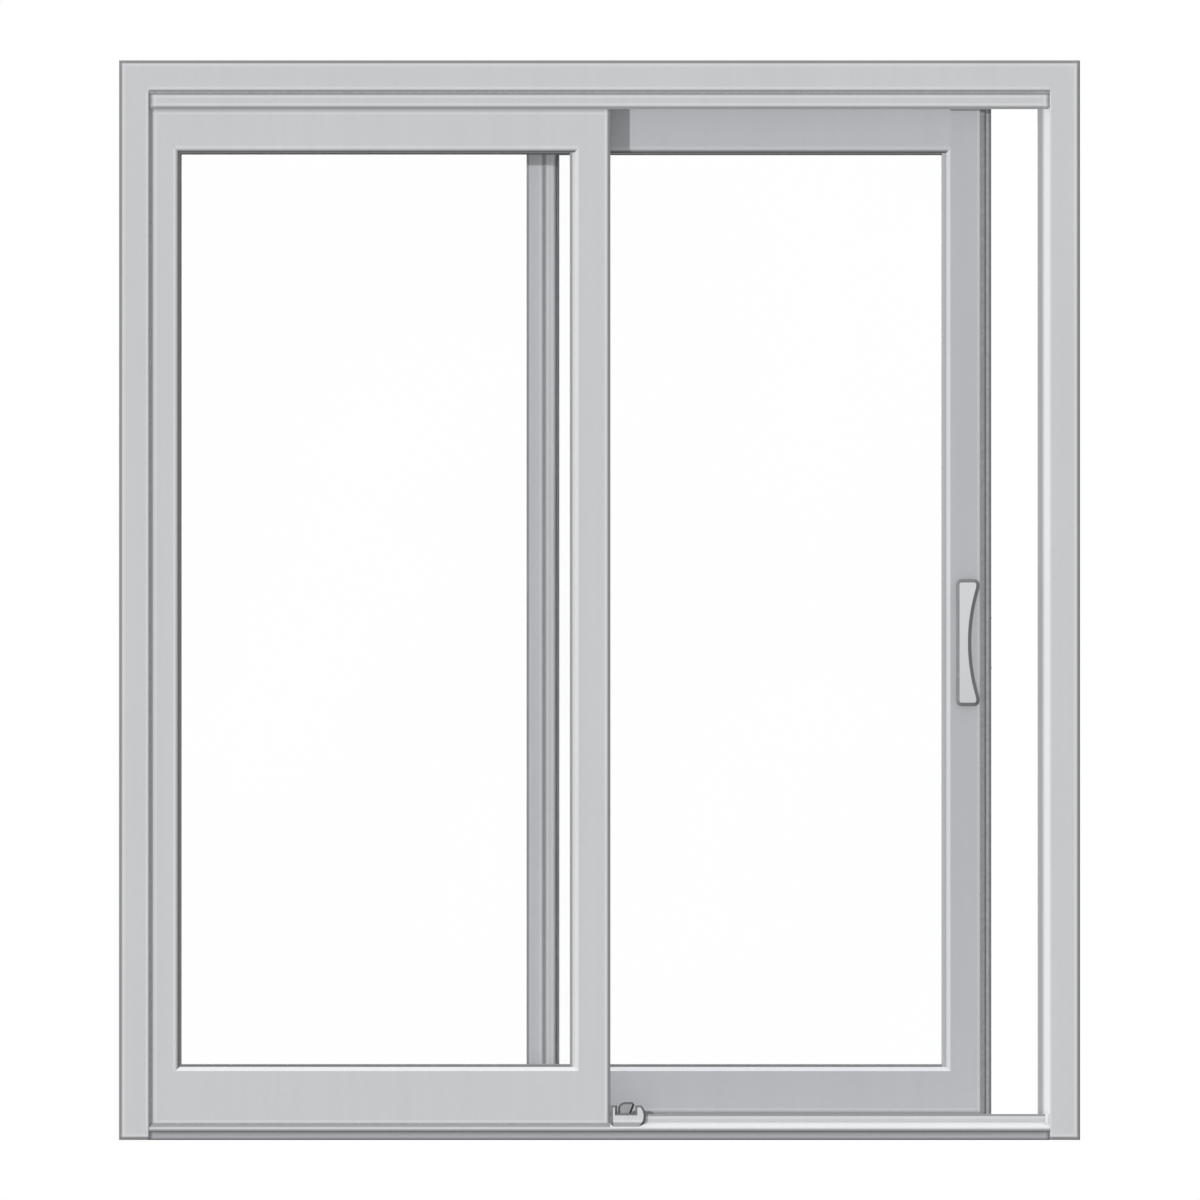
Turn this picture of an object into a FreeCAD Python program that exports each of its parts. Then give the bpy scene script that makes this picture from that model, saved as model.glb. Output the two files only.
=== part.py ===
# Glass sliding patio door: a fixed panel on the outside at the left, a sliding panel behind it.
# X runs along the wall (to the right, seen from outside), Y from outside to inside, Z is up.
# The origin lies on the sill's underside, midway along the sill and midway through the frame's depth.
# The sliding panel stands partly open, as far as rest_gap says.
import FreeCAD, Part
import os
import Sketcher

# Driving dimensions in millimetres
SIZES = {
    # frame
    "frame_width": 1797.0,
    "frame_height": 2019.0,
    "frame_depth": 116.0,
    "jamb_face": 56.5,
    "head_face": 58.5,
    "edge_round": 3.0,
    "trim_round": 2.0,
    "jamb_pocket": 14.0,
    "head_leg": 28.0,
    "head_stop_height": 33.0,
    "head_stop_depth": 7.0,
    "head_stop_round": 6.0,
    "inner_stop_width": 22.0,
    "lock_stop_edge": 10.0,
    "lock_stop_foot": 9.0,
    # sill
    "nose_setback": 3.0,
    "nose_depth": 12.0,
    "nose_height": 16.5,
    "lip_edge": 4.0,
    "ledge_height": 29.0,
    "ledge_overhang": 4.0,
    "pan_height": 12.0,
    "cover_toe": 6.0,
    "cover_toe_height": 3.7,
    "cover_height": 48.7,
    "cover_wall": 2.5,
    "threshold_height": 48.0,
    "rail_foot_width": 18.0,
    "rail_foot_height": 2.0,
    "rail_web": 5.0,
    "rail_top": 26.0,
    # panels
    "fixed_setback": 12.0,
    "panel_thickness": 38.0,
    "panel_gap": 16.0,
    "run_clearance": 6.0,
    "panel_round": 1.5,
    "bottom_rail": 100.0,
    "top_rail": 103.5,
    "fixed_stile": 63.0,
    "fixed_meeting": 59.5,
    "fixed_past_middle": 20.4,
    "fixed_top_gap": 2.5,
    "meeting_stile": 50.0,
    "lock_stile": 56.0,
    "meeting_overlap": 56.9,
    "sliding_bottom": 34.0,
    "sliding_top_gap": 10.5,
    "rest_gap": 109.0,
    "close_clearance": 9.0,
    # glazing
    "glazing_bevel": 8.0,
    "bevel_drop": 6.5,
    "lip_depth": 9.0,
    "pane_thickness": 4.0,
    "pane_space": 14.0,
    "pane_edge_gap": 2.0,
    "seal_width": 3.0,
    "spacer_width": 6.0,
    "bead_edge": 2.5,
    # meeting interlock and lock edge
    "interlock_wall": 3.0,
    "interlock_plate": 32.7,
    "edge_strip_width": 20.5,
    "edge_strip_base": 26.0,
    "edge_strip_tip": 16.0,
    "edge_strip_step": 8.0,
    "edge_strip_round": 1.5,
    # lock
    "lock_height": 930.0,
    "lock_plate": 2.0,
    "faceplate_height": 120.0,
    "faceplate_width": 12.0,
    "hook_slot_height": 50.0,
    "hook_slot_width": 6.0,
    "strike_height": 140.0,
    "strike_width": 18.0,
    "strike_slot_height": 70.0,
    "strike_slot_width": 9.0,
    "strike_pocket": 14.0,
    # handles
    "handle_bottom": 811.5,
    "handle_height": 237.5,
    "handle_width": 44.0,
    "handle_edge": 1.5,
    "handle_scoop": 15.5,
    "handle_foot": 16.0,
    "handle_shoulder": 20.0,
    "handle_reach": 38.0,
    "handle_end_reach": 30.0,
    "finger_gap": 20.0,
    "finger_foot": 34.0,
    "finger_flare": 10.0,
    "handle_corner": 10.5,
    "handle_bevel": 6.5,
    "grip_round": 4.0,
    # thumb turn
    "turn_drop": 44.0,
    "turn_radius": 13.0,
    "turn_base": 5.0,
    "turn_length": 38.0,
    "turn_width": 9.0,
    "turn_reach": 13.0,
    # rollers
    "roller_inset": 70.0,
    "roller_radius": 15.0,
    "roller_groove": 3.0,
    "roller_width": 9.0,
    "roller_tread": 5.8,
    "roller_flare": 0.5,
    "roller_gap": 0.3,
    "axle_radius": 3.0,
    "axle_clearance": 0.2,
    "axle_length": 18.0,
    "channel_width": 20.0,
    "channel_height": 36.0,
    "housing_length": 70.0,
    "housing_gap": 0.3,
    "housing_rise": 2.0,
    "housing_slot_length": 36.0,
    "housing_slot_width": 11.0,
    "housing_slot_height": 24.0,
    # foot block on the sill cover
    "foot_offset": 1.0,
    "foot_reach": 4.0,
    "foot_width": 57.0,
    "foot_bulge": 8.0,
    "foot_plate": 1.2,
    "foot_depth": 38.0,
    "foot_bevel": 4.0,
    "lug_thickness": 11.5,
    "lug_height": 14.8,
    "knob_gap": 2.0,
    "knob_inset": 6.0,
    "knob_height": 21.0,
    "knob_lean": 8.0,
    "knob_depth": 22.0,
    "knob_shoulder": 13.0,
    "knob_tip": 5.0,
    "knob_bevel": 4.0,
    # installation screws through the jambs
    "screw_pitch": 550.0,
    "screw_radius": 4.0,
    "screw_cap_radius": 8.0,
    "screw_cap_depth": 6.0,
}


class Size:
    """A length: its value in millimetres and the sheet expression that drives it."""

    def __init__(self, value, text):
        self.value = value
        self.text = text

    def __add__(self, other):
        other = as_size(other)
        return Size(self.value + other.value, f"({self.text} + {other.text})")

    def __sub__(self, other):
        other = as_size(other)
        return Size(self.value - other.value, f"({self.text} - {other.text})")

    def __mul__(self, other):
        other = as_size(other)
        return Size(self.value * other.value, f"({self.text} * {other.text})")

    def __truediv__(self, other):
        other = as_size(other)
        return Size(self.value / other.value, f"({self.text} / {other.text})")

    def __neg__(self):
        return Size(-self.value, f"(-1 * {self.text})")


def as_size(length):
    """A plain number becomes a Size; a Size stays as it is."""
    if isinstance(length, Size):
        return length
    return Size(float(length), repr(float(length)))


ORIGIN = as_size(0)
HALF_CIRCLE = None
DIAGONAL = 0.5 ** 0.5
TURN_END_ROUNDNESS = 0.8
ON_SHAPE = 0.001

doc = FreeCAD.newDocument("patio_door")
sheet = doc.addObject("Spreadsheet::Sheet", "Sizes")
for row, (alias, number) in enumerate(SIZES.items(), 1):
    sheet.set(f"A{row}", str(number))
    sheet.setAlias(f"A{row}", alias)
doc.recompute()


def size(alias):
    """The driving dimension with this name."""
    return Size(SIZES[alias], f"Sizes.{alias}")


# Planes and edges that several pieces share

half_width = size("frame_width") / 2
jamb_inner = half_width - size("jamb_face")
outside = -(size("frame_depth") / 2)
inside = size("frame_depth") / 2
frame_top = size("frame_height")
head_under = frame_top - size("head_face")
leg_under = head_under - size("head_leg")
ledge = size("ledge_height")
lip_top = size("nose_height") + size("lip_edge")
cover_top = size("cover_height")
pan = size("pan_height")
clearance = size("run_clearance")

fixed_front = outside + size("fixed_setback")
fixed_back = fixed_front + size("panel_thickness")
ledge_front = fixed_front - size("ledge_overhang")
cover_face = ledge_front + size("cover_toe")
sliding_front = fixed_back + size("panel_gap")
sliding_back = sliding_front + size("panel_thickness")
sliding_middle = (sliding_front + sliding_back) / 2
track_front = sliding_front - clearance
track_back = sliding_back + clearance

bevel = size("glazing_bevel")
fixed_left = -jamb_inner - size("jamb_pocket")
fixed_wall_left = fixed_left + size("fixed_stile")
fixed_right = size("fixed_past_middle")
fixed_wall_right = fixed_right - size("fixed_meeting")
fixed_top = head_under - size("fixed_top_gap")

wall_bottom = ledge + size("bottom_rail")
wall_top = fixed_top - size("top_rail")
daylight_bottom = wall_bottom + bevel
daylight_top = wall_top - bevel

edge_tip = jamb_inner - size("rest_gap")
lock_edge = edge_tip - size("edge_strip_width")
sliding_wall_right = lock_edge - size("lock_stile")
sliding_bottom = size("sliding_bottom")
sliding_top = head_under - size("sliding_top_gap")
close_travel = size("rest_gap") - size("close_clearance")
sliding_left = fixed_right - size("meeting_overlap") - close_travel
sliding_wall_left = sliding_left + size("meeting_stile")
stop_foot = jamb_inner - size("lock_stop_foot")

nodes = []


def bind(feature, path, length):
    """Ties one property of a feature to the sheet."""
    feature.setExpression(path, as_size(length).text)


def new_body(label):
    """An empty body that becomes the node with this name."""
    body = doc.addObject("PartDesign::Body", label)
    body.Label = label
    nodes.append(body)
    return body


def origin_feature(body, role):
    """One of the body's own origin planes or axes."""
    return next(item for item in body.Origin.OriginFeatures if item.Role == role)


def new_sketch(body, name, plane, offset):
    """A sketch on an origin plane of the body, moved along that plane's normal."""
    sketch = body.newObject("Sketcher::SketchObject", f"{body.Label}_{name}")
    sketch.AttachmentSupport = [(origin_feature(body, plane), "")]
    sketch.MapMode = "FlatFace"
    bind(sketch, "AttachmentOffset.Base.z", offset)
    return sketch


def pin_point(sketch, geometry, end, across, up):
    """Fixes one point of a sketch at two driven distances from the sketch's origin."""
    for kind, length in (("DistanceX", across), ("DistanceY", up)):
        constraint = Sketcher.Constraint(kind, -1, 1, geometry, end, as_size(length).value)
        index = sketch.addConstraint(constraint)
        bind(sketch, f"Constraints[{index}]", length)


def vector(point):
    """A point of a sketch as a vector."""
    return FreeCAD.Vector(as_size(point[0]).value, as_size(point[1]).value, 0)


def draw_outline(sketch, points, arcs=None):
    """Closed outline through the points. arcs maps a side's number to the arc's middle and radius.

    A half circle on a level chord has its centre on the chord instead of a radius.
    """
    arcs = arcs or {}
    first = sketch.GeometryCount
    count = len(points)
    for number, start in enumerate(points):
        end = points[(number + 1) % count]
        if number in arcs:
            middle, radius = arcs[number]
            curve = Part.Arc(vector(start), vector(middle), vector(end))
        else:
            curve = Part.LineSegment(vector(start), vector(end))
        sketch.addGeometry(curve, False)
    arc_ends = {}
    for number in range(count):
        arc_ends[number] = (1, 2)
        if number in arcs:
            arc_ends[number] = ends_of_arc(sketch, first + number, points[number])
    for number in range(count):
        following = (number + 1) % count
        joined = Sketcher.Constraint(
            "Coincident",
            first + number,
            arc_ends[number][1],
            first + following,
            arc_ends[following][0],
        )
        sketch.addConstraint(joined)
    for number, (across, up) in enumerate(points):
        pin_point(sketch, first + number, arc_ends[number][0], across, up)
    for number, (middle, radius) in arcs.items():
        level_of_chord = points[number][1]
        if radius is HALF_CIRCLE:
            kind = ("DistanceY", -1, 1, first + number, 3, as_size(level_of_chord).value)
            driven = level_of_chord
        else:
            kind = ("Radius", first + number, as_size(radius).value)
            driven = radius
        index = sketch.addConstraint(Sketcher.Constraint(*kind))
        bind(sketch, f"Constraints[{index}]", driven)


def ends_of_arc(sketch, geometry, start):
    """Which end of a drawn arc lies at its starting point, and which at the other."""
    distance = sketch.getPoint(geometry, 1).distanceToPoint(vector(start))
    if distance < ON_SHAPE:
        return (1, 2)
    return (2, 1)


def draw_circle(sketch, across, up, radius):
    """A circle at a driven place, of a driven radius."""
    centre = vector((across, up))
    curve = Part.Circle(centre, FreeCAD.Vector(0, 0, 1), as_size(radius).value)
    geometry = sketch.addGeometry(curve, False)
    pin_point(sketch, geometry, 3, across, up)
    constraint = Sketcher.Constraint("Radius", geometry, as_size(radius).value)
    bind(sketch, f"Constraints[{sketch.addConstraint(constraint)}]", radius)


def rectangle(left, bottom, right, top):
    """The corners of a rectangle."""
    return [(left, bottom), (right, bottom), (right, top), (left, top)]


def pad(body, sketch, length, towards_back=False):
    """Material along the sketch's normal, or against it."""
    feature = body.newObject("PartDesign::Pad", f"{sketch.Label}_pad")
    feature.Profile = sketch
    feature.Reversed = towards_back
    bind(feature, "Length", length)
    doc.recompute()
    return feature


def cut_through(body, sketch):
    """Removes what lies in the outline, all the way through in both directions."""
    before = body.Shape.Volume
    feature = body.newObject("PartDesign::Pocket", f"{sketch.Label}_cut")
    feature.Profile = sketch
    feature.Type = "ThroughAll"
    feature.SideType = "Symmetric"
    doc.recompute()
    check_removed(body, before)
    return feature


def cut_depth(body, sketch, depth, along_normal=False):
    """Removes what lies in the outline to a driven depth, against the sketch's normal by default."""
    before = body.Shape.Volume
    feature = body.newObject("PartDesign::Pocket", f"{sketch.Label}_cut")
    feature.Profile = sketch
    feature.Reversed = along_normal
    bind(feature, "Length", depth)
    doc.recompute()
    check_removed(body, before)
    return feature


def check_removed(body, before):
    """Stops if a cut left the body as it was."""
    if body.Shape.Volume >= before:
        raise RuntimeError(f"a cut in {body.Label} removes nothing")


def pick(body, kind, points):
    """The body's last feature and the names of its edges or faces, as kind says, at the given points."""
    base = body.Tip
    shapes = {"Edge": base.Shape.Edges, "Face": base.Shape.Faces}[kind]
    places = []
    for point in points:
        places.append(Part.Vertex(*[as_size(part).value for part in point]))
    names = []
    for number, shape in enumerate(shapes, 1):
        if any(shape.distToShape(place)[0] < ON_SHAPE for place in places):
            names.append(f"{kind}{number}")
    if len(names) != len(points):
        raise RuntimeError(f"{body.Label} has {len(names)} of {len(points)} places to dress")
    return (base, names)


def round_edges(body, name, points, radius):
    """Rounds the edges of the body that pass through the given points."""
    picked = pick(body, "Edge", points)
    feature = body.newObject("PartDesign::Fillet", f"{body.Label}_{name}")
    feature.Base = picked
    bind(feature, "Radius", radius)
    doc.recompute()


def round_up_to(body, name, edge, inwards, top):
    """Rounds an upright edge of a piece, given as (x, y), from the floor up to a height.

    inwards says which way the piece lies from the edge along x and along y.
    """
    radius = size("edge_round")
    across, depth = edge
    into_x = radius * inwards[0]
    into_y = radius * inwards[1]
    shoulder = 1 - DIAGONAL
    sketch = new_sketch(body, name, "XY_Plane", ORIGIN)
    draw_outline(
        sketch,
        [(across, depth), (across, depth + into_y), (across + into_x, depth)],
        {1: ((across + into_x * shoulder, depth + into_y * shoulder), radius)},
    )
    cut_depth(body, sketch, top, along_normal=True)


def bevel_at(body, kind, points, width):
    """Bevels the edges at the points and those they run on into, or every edge of the faces there."""
    picked = pick(body, kind, points)
    feature = body.newObject("PartDesign::Chamfer", f"{body.Label}_bevel")
    feature.Base = picked
    bind(feature, "Size", width)
    doc.recompute()


def upright(label, section, bottom, top):
    """A piece with one section in plan, from bottom to top."""
    body = new_body(label)
    sketch = new_sketch(body, "section", "XY_Plane", bottom)
    draw_outline(sketch, section)
    pad(body, sketch, top - bottom)
    return body


def level(label, section, left, right):
    """A piece with one upright section, from left to right. The section is given as (y, z)."""
    body = new_body(label)
    sketch = new_sketch(body, "section", "YZ_Plane", left)
    draw_outline(sketch, section)
    pad(body, sketch, right - left)
    return body


def sheet_piece(label, outline, front, back):
    """A flat piece that faces the outside. The outline is given as (x, z)."""
    body = new_body(label)
    sketch = new_sketch(body, "outline", "XZ_Plane", -front)
    draw_outline(sketch, outline)
    pad(body, sketch, back - front, towards_back=True)
    return body


# Frame

def screw_rows():
    """Heights of the installation screws in a jamb, even about the middle of the frame."""
    middle = frame_top / 2
    return [middle + size("screw_pitch") * step for step in (-1.5, -0.5, 0.5, 1.5)]


def drill_jamb(body, mouth, into_frame):
    """Screw holes through a jamb, each with a seat for its cap at the mouth."""
    holes = new_sketch(body, "screws", "YZ_Plane", mouth)
    caps = new_sketch(body, "caps", "YZ_Plane", mouth)
    for height in screw_rows():
        draw_circle(holes, sliding_middle, height, size("screw_radius"))
        draw_circle(caps, sliding_middle, height, size("screw_cap_radius"))
    cut_through(body, holes)
    cut_depth(body, caps, size("screw_cap_depth"), along_normal=into_frame)


def round_outer_edges(body, outer, inner):
    """Rounds a jamb's outer front edge and, as on the head, the front edge of its top."""
    edges = [(outer, outside, frame_top / 2), ((outer + inner) / 2, outside, frame_top)]
    round_edges(body, "round", edges, size("edge_round"))


def jamb_left():
    """Jamb with a pocket that takes the fixed panel and a channel behind it."""
    floor = fixed_left
    section = [
        (-half_width, outside),
        (-jamb_inner, outside),
        (-jamb_inner, fixed_front),
        (floor, fixed_front),
        (floor, fixed_back),
        (-jamb_inner, fixed_back),
        (-jamb_inner, track_front),
        (floor, track_front),
        (floor, track_back),
        (-jamb_inner, track_back),
        (-jamb_inner, inside),
        (-half_width, inside),
    ]
    body = upright("jamb_left", section, ORIGIN, frame_top)
    round_outer_edges(body, -half_width, -jamb_inner)
    round_up_to(body, "front_edge", (-jamb_inner, outside), (-1, 1), head_under)
    round_up_to(body, "back_edge", (-jamb_inner, inside), (-1, -1), leg_under)
    drill_jamb(body, floor, into_frame=False)


def jamb_right():
    """Jamb that takes the lock edge of the sliding panel, with an inner stop and a strike recess."""
    body = upright("jamb_right", rectangle(jamb_inner, outside, half_width, inside), ORIGIN, frame_top)
    round_outer_edges(body, half_width, jamb_inner)
    round_up_to(body, "front_edge", (jamb_inner, outside), (1, 1), head_under)
    stop = new_sketch(body, "stop", "XY_Plane", size("threshold_height"))
    draw_outline(
        stop, rectangle(jamb_inner - size("inner_stop_width"), track_back, jamb_inner, inside)
    )
    pad(body, stop, leg_under - size("threshold_height"))
    drill_jamb(body, jamb_inner, into_frame=True)
    recess = new_sketch(body, "strike", "YZ_Plane", jamb_inner)
    draw_outline(recess, lock_outline("strike_width", "strike_height"))
    cut_depth(body, recess, size("lock_plate"), along_normal=True)
    pocket = new_sketch(body, "hook", "YZ_Plane", jamb_inner)
    draw_outline(pocket, lock_outline("strike_slot_width", "strike_slot_height"))
    cut_depth(body, pocket, size("strike_pocket"), along_normal=True)


def head():
    """Head with one leg between the two panels and one inside the sliding panel."""
    section = [
        (outside, head_under),
        (outside, frame_top),
        (inside, frame_top),
        (inside, leg_under),
        (track_back, leg_under),
        (track_back, head_under),
        (track_front, head_under),
        (track_front, leg_under),
        (fixed_back, leg_under),
        (fixed_back, head_under),
    ]
    body = level("head", section, -jamb_inner, jamb_inner)
    round_edges(
        body,
        "round",
        [(0, outside, head_under), (0, outside, frame_top), (0, inside, leg_under)],
        size("edge_round"),
    )


def head_stop():
    """Strip under the head's face that covers the tops of the panels."""
    face = fixed_front - size("head_stop_depth")
    bottom = head_under - size("head_stop_height")
    body = level(
        "head_stop", rectangle(face, bottom, fixed_front, head_under), -jamb_inner, jamb_inner
    )
    middle = (face + fixed_front) / 2
    corners = []
    for side in (-jamb_inner, jamb_inner):
        corners += [(side, middle, bottom), (side, middle, head_under)]
    round_edges(body, "corners", corners, size("head_stop_round"))


def lock_stop():
    """Splayed strip on the lock jamb, in front of the sliding panel, with a narrow foot on the ledge."""
    tip = jamb_inner - size("inner_stop_width")
    section = [
        (jamb_inner, fixed_front),
        (tip, track_front - size("lock_stop_edge")),
        (tip, track_front),
        (jamb_inner, track_front),
    ]
    body = upright("lock_stop", section, cover_top, leg_under)
    middle = frame_top / 2
    edges = [(tip, track_front - size("lock_stop_edge"), middle), (tip, track_front, middle)]
    round_edges(body, "round", edges, size("trim_round"))
    foot = new_sketch(body, "foot", "XY_Plane", ledge)
    draw_outline(foot, rectangle(stop_foot, fixed_front, jamb_inner, track_front))
    pad(body, foot, cover_top - ledge)


# Sill

def sill_base():
    """Sill with a sloped lip, the ledge that seats the fixed panel, and the pan behind it."""
    nose_back = outside + size("nose_setback") + size("nose_depth")
    section = [
        (nose_back, ORIGIN),
        (nose_back, size("nose_height")),
        (outside, size("nose_height")),
        (outside, lip_top),
        (ledge_front, ledge),
        (track_front, ledge),
        (track_front, pan),
        (inside, pan),
        (inside, ORIGIN),
    ]
    body = level("sill_base", section, -jamb_inner, jamb_inner)
    round_edges(body, "lip", [(0, outside, lip_top)], size("trim_round"))


def sill_nose():
    """Dark nosing under the sill's lip, set back from the frame's face."""
    face = outside + size("nose_setback")
    section = rectangle(face, ORIGIN, face + size("nose_depth"), size("nose_height"))
    body = level("sill_nose", section, -jamb_inner, jamb_inner)
    edges = [(0, face, ORIGIN), (0, face, size("nose_height"))]
    round_edges(body, "round", edges, size("trim_round"))


def sill_cover():
    """Channel that covers the ledge beside the fixed panel, with a sloped toe and an upright face."""
    wall = size("cover_wall")
    section = [
        (ledge_front, ledge),
        (cover_face, ledge + size("cover_toe_height")),
        (cover_face, cover_top),
        (track_front, cover_top),
        (track_front, ledge),
        (track_front - wall, ledge),
        (track_front - wall, cover_top - wall),
        (cover_face + wall, cover_top - wall),
        (cover_face + wall, ledge),
    ]
    body = level("sill_cover", section, fixed_right, stop_foot)
    middle = (fixed_right + stop_foot) / 2
    round_edges(body, "round", [(middle, cover_face, cover_top)], size("trim_round"))


def threshold():
    """Upright strip along the inside of the pan."""
    section = rectangle(track_back, pan, inside, size("threshold_height"))
    body = level("threshold", section, -jamb_inner, jamb_inner)
    top = size("threshold_height")
    round_edges(body, "round", [(0, inside, top), (0, track_back, top)], size("panel_round"))


def roller_rail():
    """Rail that the rollers run on: a flat foot and a round-topped web."""
    half_foot = size("rail_foot_width") / 2
    half_web = size("rail_web") / 2
    foot_top = pan + size("rail_foot_height")
    shoulder = size("rail_top") - half_web
    crown = size("rail_top")
    body = new_body("roller_rail")
    sketch = new_sketch(body, "section", "YZ_Plane", -jamb_inner)
    outline = [
        (sliding_middle - half_foot, pan),
        (sliding_middle + half_foot, pan),
        (sliding_middle + half_foot, foot_top),
        (sliding_middle + half_web, foot_top),
        (sliding_middle + half_web, shoulder),
        (sliding_middle - half_web, shoulder),
        (sliding_middle - half_web, foot_top),
        (sliding_middle - half_foot, foot_top),
    ]
    draw_outline(sketch, outline, {4: ((sliding_middle, crown), HALF_CIRCLE)})
    pad(body, sketch, jamb_inner * 2)


# Panels

def stile(label, edge, wall, daylight, front, bottom, top, rebate=None):
    """Upright of a panel: a core from edge to wall and a bevelled glazing lip on to the daylight."""
    back = front + size("panel_thickness")
    outer_edge = [(edge, front)]
    if rebate:
        step, depth = rebate
        outer_edge = [(edge, front + depth), (step, front + depth), (step, front)]
    section = outer_edge + [
        (wall, front),
        (daylight, front + size("bevel_drop")),
        (daylight, front + size("lip_depth")),
        (wall, front + size("lip_depth")),
        (wall, back),
        (edge, back),
    ]
    body = upright(label, section, bottom, top)
    past = daylight - wall
    beyond = daylight + past
    ends = new_sketch(body, "lip_ends", "XZ_Plane", ORIGIN)
    draw_outline(
        ends,
        [
            (wall, bottom),
            (beyond, bottom),
            (beyond, daylight_bottom + bevel),
            (wall, wall_bottom),
        ],
    )
    draw_outline(
        ends,
        [(wall, top), (beyond, top), (beyond, daylight_top - bevel), (wall, wall_top)],
    )
    cut_through(body, ends)
    return body


def rail(label, edge, wall, daylight, front, left, right, channel=None):
    """Cross rail of a panel between its stiles, with the same glazing lip, mitred at its ends."""
    back = front + size("panel_thickness")
    middle = front + size("panel_thickness") / 2
    section = [
        (front, edge),
        (front, wall),
        (front + size("bevel_drop"), daylight),
        (front + size("lip_depth"), daylight),
        (front + size("lip_depth"), wall),
        (back, wall),
        (back, edge),
    ]
    if channel:
        half, ceiling = channel
        section += [
            (middle + half, edge),
            (middle + half, ceiling),
            (middle - half, ceiling),
            (middle - half, edge),
        ]
    body = level(label, section, left, right)
    mitre_lip(body, wall, daylight, left, right)
    return body


def mitre_lip(body, wall, daylight, left, right):
    """Cuts both ends of a level lip at 45 degrees."""
    beyond = daylight + daylight - wall
    ends = new_sketch(body, "mitres", "XZ_Plane", ORIGIN)
    draw_outline(ends, [(left, wall), (left + bevel * 2, beyond), (left - bevel, beyond), (left - bevel, wall)])
    draw_outline(
        ends, [(right, wall), (right - bevel * 2, beyond), (right + bevel, beyond), (right + bevel, wall)]
    )
    cut_through(body, ends)


def bead_section(wall, daylight, back):
    """Section of a glazing bead: (distance from wall, depth) with its inner face bevelled."""
    pane_back = back - bead_depth()
    return [(wall, pane_back), (daylight, pane_back), (daylight, pane_back + size("bead_edge")), (wall, back)]


def bead_depth():
    """Depth left for the beads behind the glass."""
    glass = size("pane_thickness") * 2 + size("pane_space")
    return size("panel_thickness") - size("lip_depth") - glass


def upright_bead(label, wall, daylight, back):
    """Glazing bead along a stile, mitred at both ends."""
    body = upright(label, bead_section(wall, daylight, back), wall_bottom, wall_top)
    beyond = daylight + daylight - wall
    below = wall_bottom - bevel
    above = wall_top + bevel
    ends = new_sketch(body, "mitres", "XZ_Plane", ORIGIN)
    draw_outline(
        ends, [(wall, wall_bottom), (beyond, wall_bottom + bevel * 2), (beyond, below), (wall, below)]
    )
    draw_outline(ends, [(wall, wall_top), (beyond, wall_top - bevel * 2), (beyond, above), (wall, above)])
    cut_through(body, ends)


def level_bead(label, wall, daylight, back, left, right):
    """Glazing bead along a rail, mitred at both ends."""
    section = [(depth, height) for height, depth in bead_section(wall, daylight, back)]
    body = level(label, section, left, right)
    mitre_lip(body, wall, daylight, left, right)


def glazing(panel, front, left, right):
    """Sealed double glazing and its four beads, for the panel with these glazing walls."""
    back = front + size("panel_thickness")
    gap = size("pane_edge_gap")
    pane = rectangle(left + gap, wall_bottom + gap, right - gap, wall_top - gap)
    outer = front + size("lip_depth")
    space = outer + size("pane_thickness")
    inner = space + size("pane_space")
    sheet_piece(f"{panel}_pane_outer", pane, outer, space)
    sheet_piece(f"{panel}_pane_inner", pane, inner, inner + size("pane_thickness"))

    rim = gap + size("seal_width")
    hollow = rim + size("spacer_width")
    spacer = new_body(f"{panel}_spacer")
    sketch = new_sketch(spacer, "outline", "XZ_Plane", -space)
    draw_outline(sketch, rectangle(left + rim, wall_bottom + rim, right - rim, wall_top - rim))
    draw_outline(
        sketch, rectangle(left + hollow, wall_bottom + hollow, right - hollow, wall_top - hollow)
    )
    pad(spacer, sketch, size("pane_space"), towards_back=True)

    upright_bead(f"{panel}_bead_left", left, left + bevel, back)
    upright_bead(f"{panel}_bead_right", right, right - bevel, back)
    level_bead(f"{panel}_bead_bottom", wall_bottom, daylight_bottom, back, left, right)
    level_bead(f"{panel}_bead_top", wall_top, daylight_top, back, left, right)


def fixed_panel():
    """Panel seated in the left jamb's pocket and on the sill's ledge."""
    left, right = fixed_wall_left, fixed_wall_right
    stile("fixed_stile_left", fixed_left, left, left + bevel, fixed_front, ledge, fixed_top)
    meeting = stile(
        "fixed_stile_meeting", fixed_right, right, right - bevel, fixed_front, ledge, fixed_top
    )
    middle = frame_top / 2
    round_edges(meeting, "round", [(fixed_right, fixed_front, middle)], size("panel_round"))
    rail("fixed_rail_bottom", ledge, wall_bottom, daylight_bottom, fixed_front, left, right)
    rail("fixed_rail_top", fixed_top, wall_top, daylight_top, fixed_front, left, right)
    glazing("fixed", fixed_front, left, right)

    wall = size("interlock_wall")
    leg = sliding_left + close_travel + wall + clearance
    section = [
        (leg, fixed_back),
        (fixed_right, fixed_back),
        (fixed_right, fixed_back + wall),
        (leg + wall, fixed_back + wall),
        (leg + wall, track_front),
        (leg, track_front),
    ]
    upright("fixed_interlock", section, ledge, leg_under)


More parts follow.
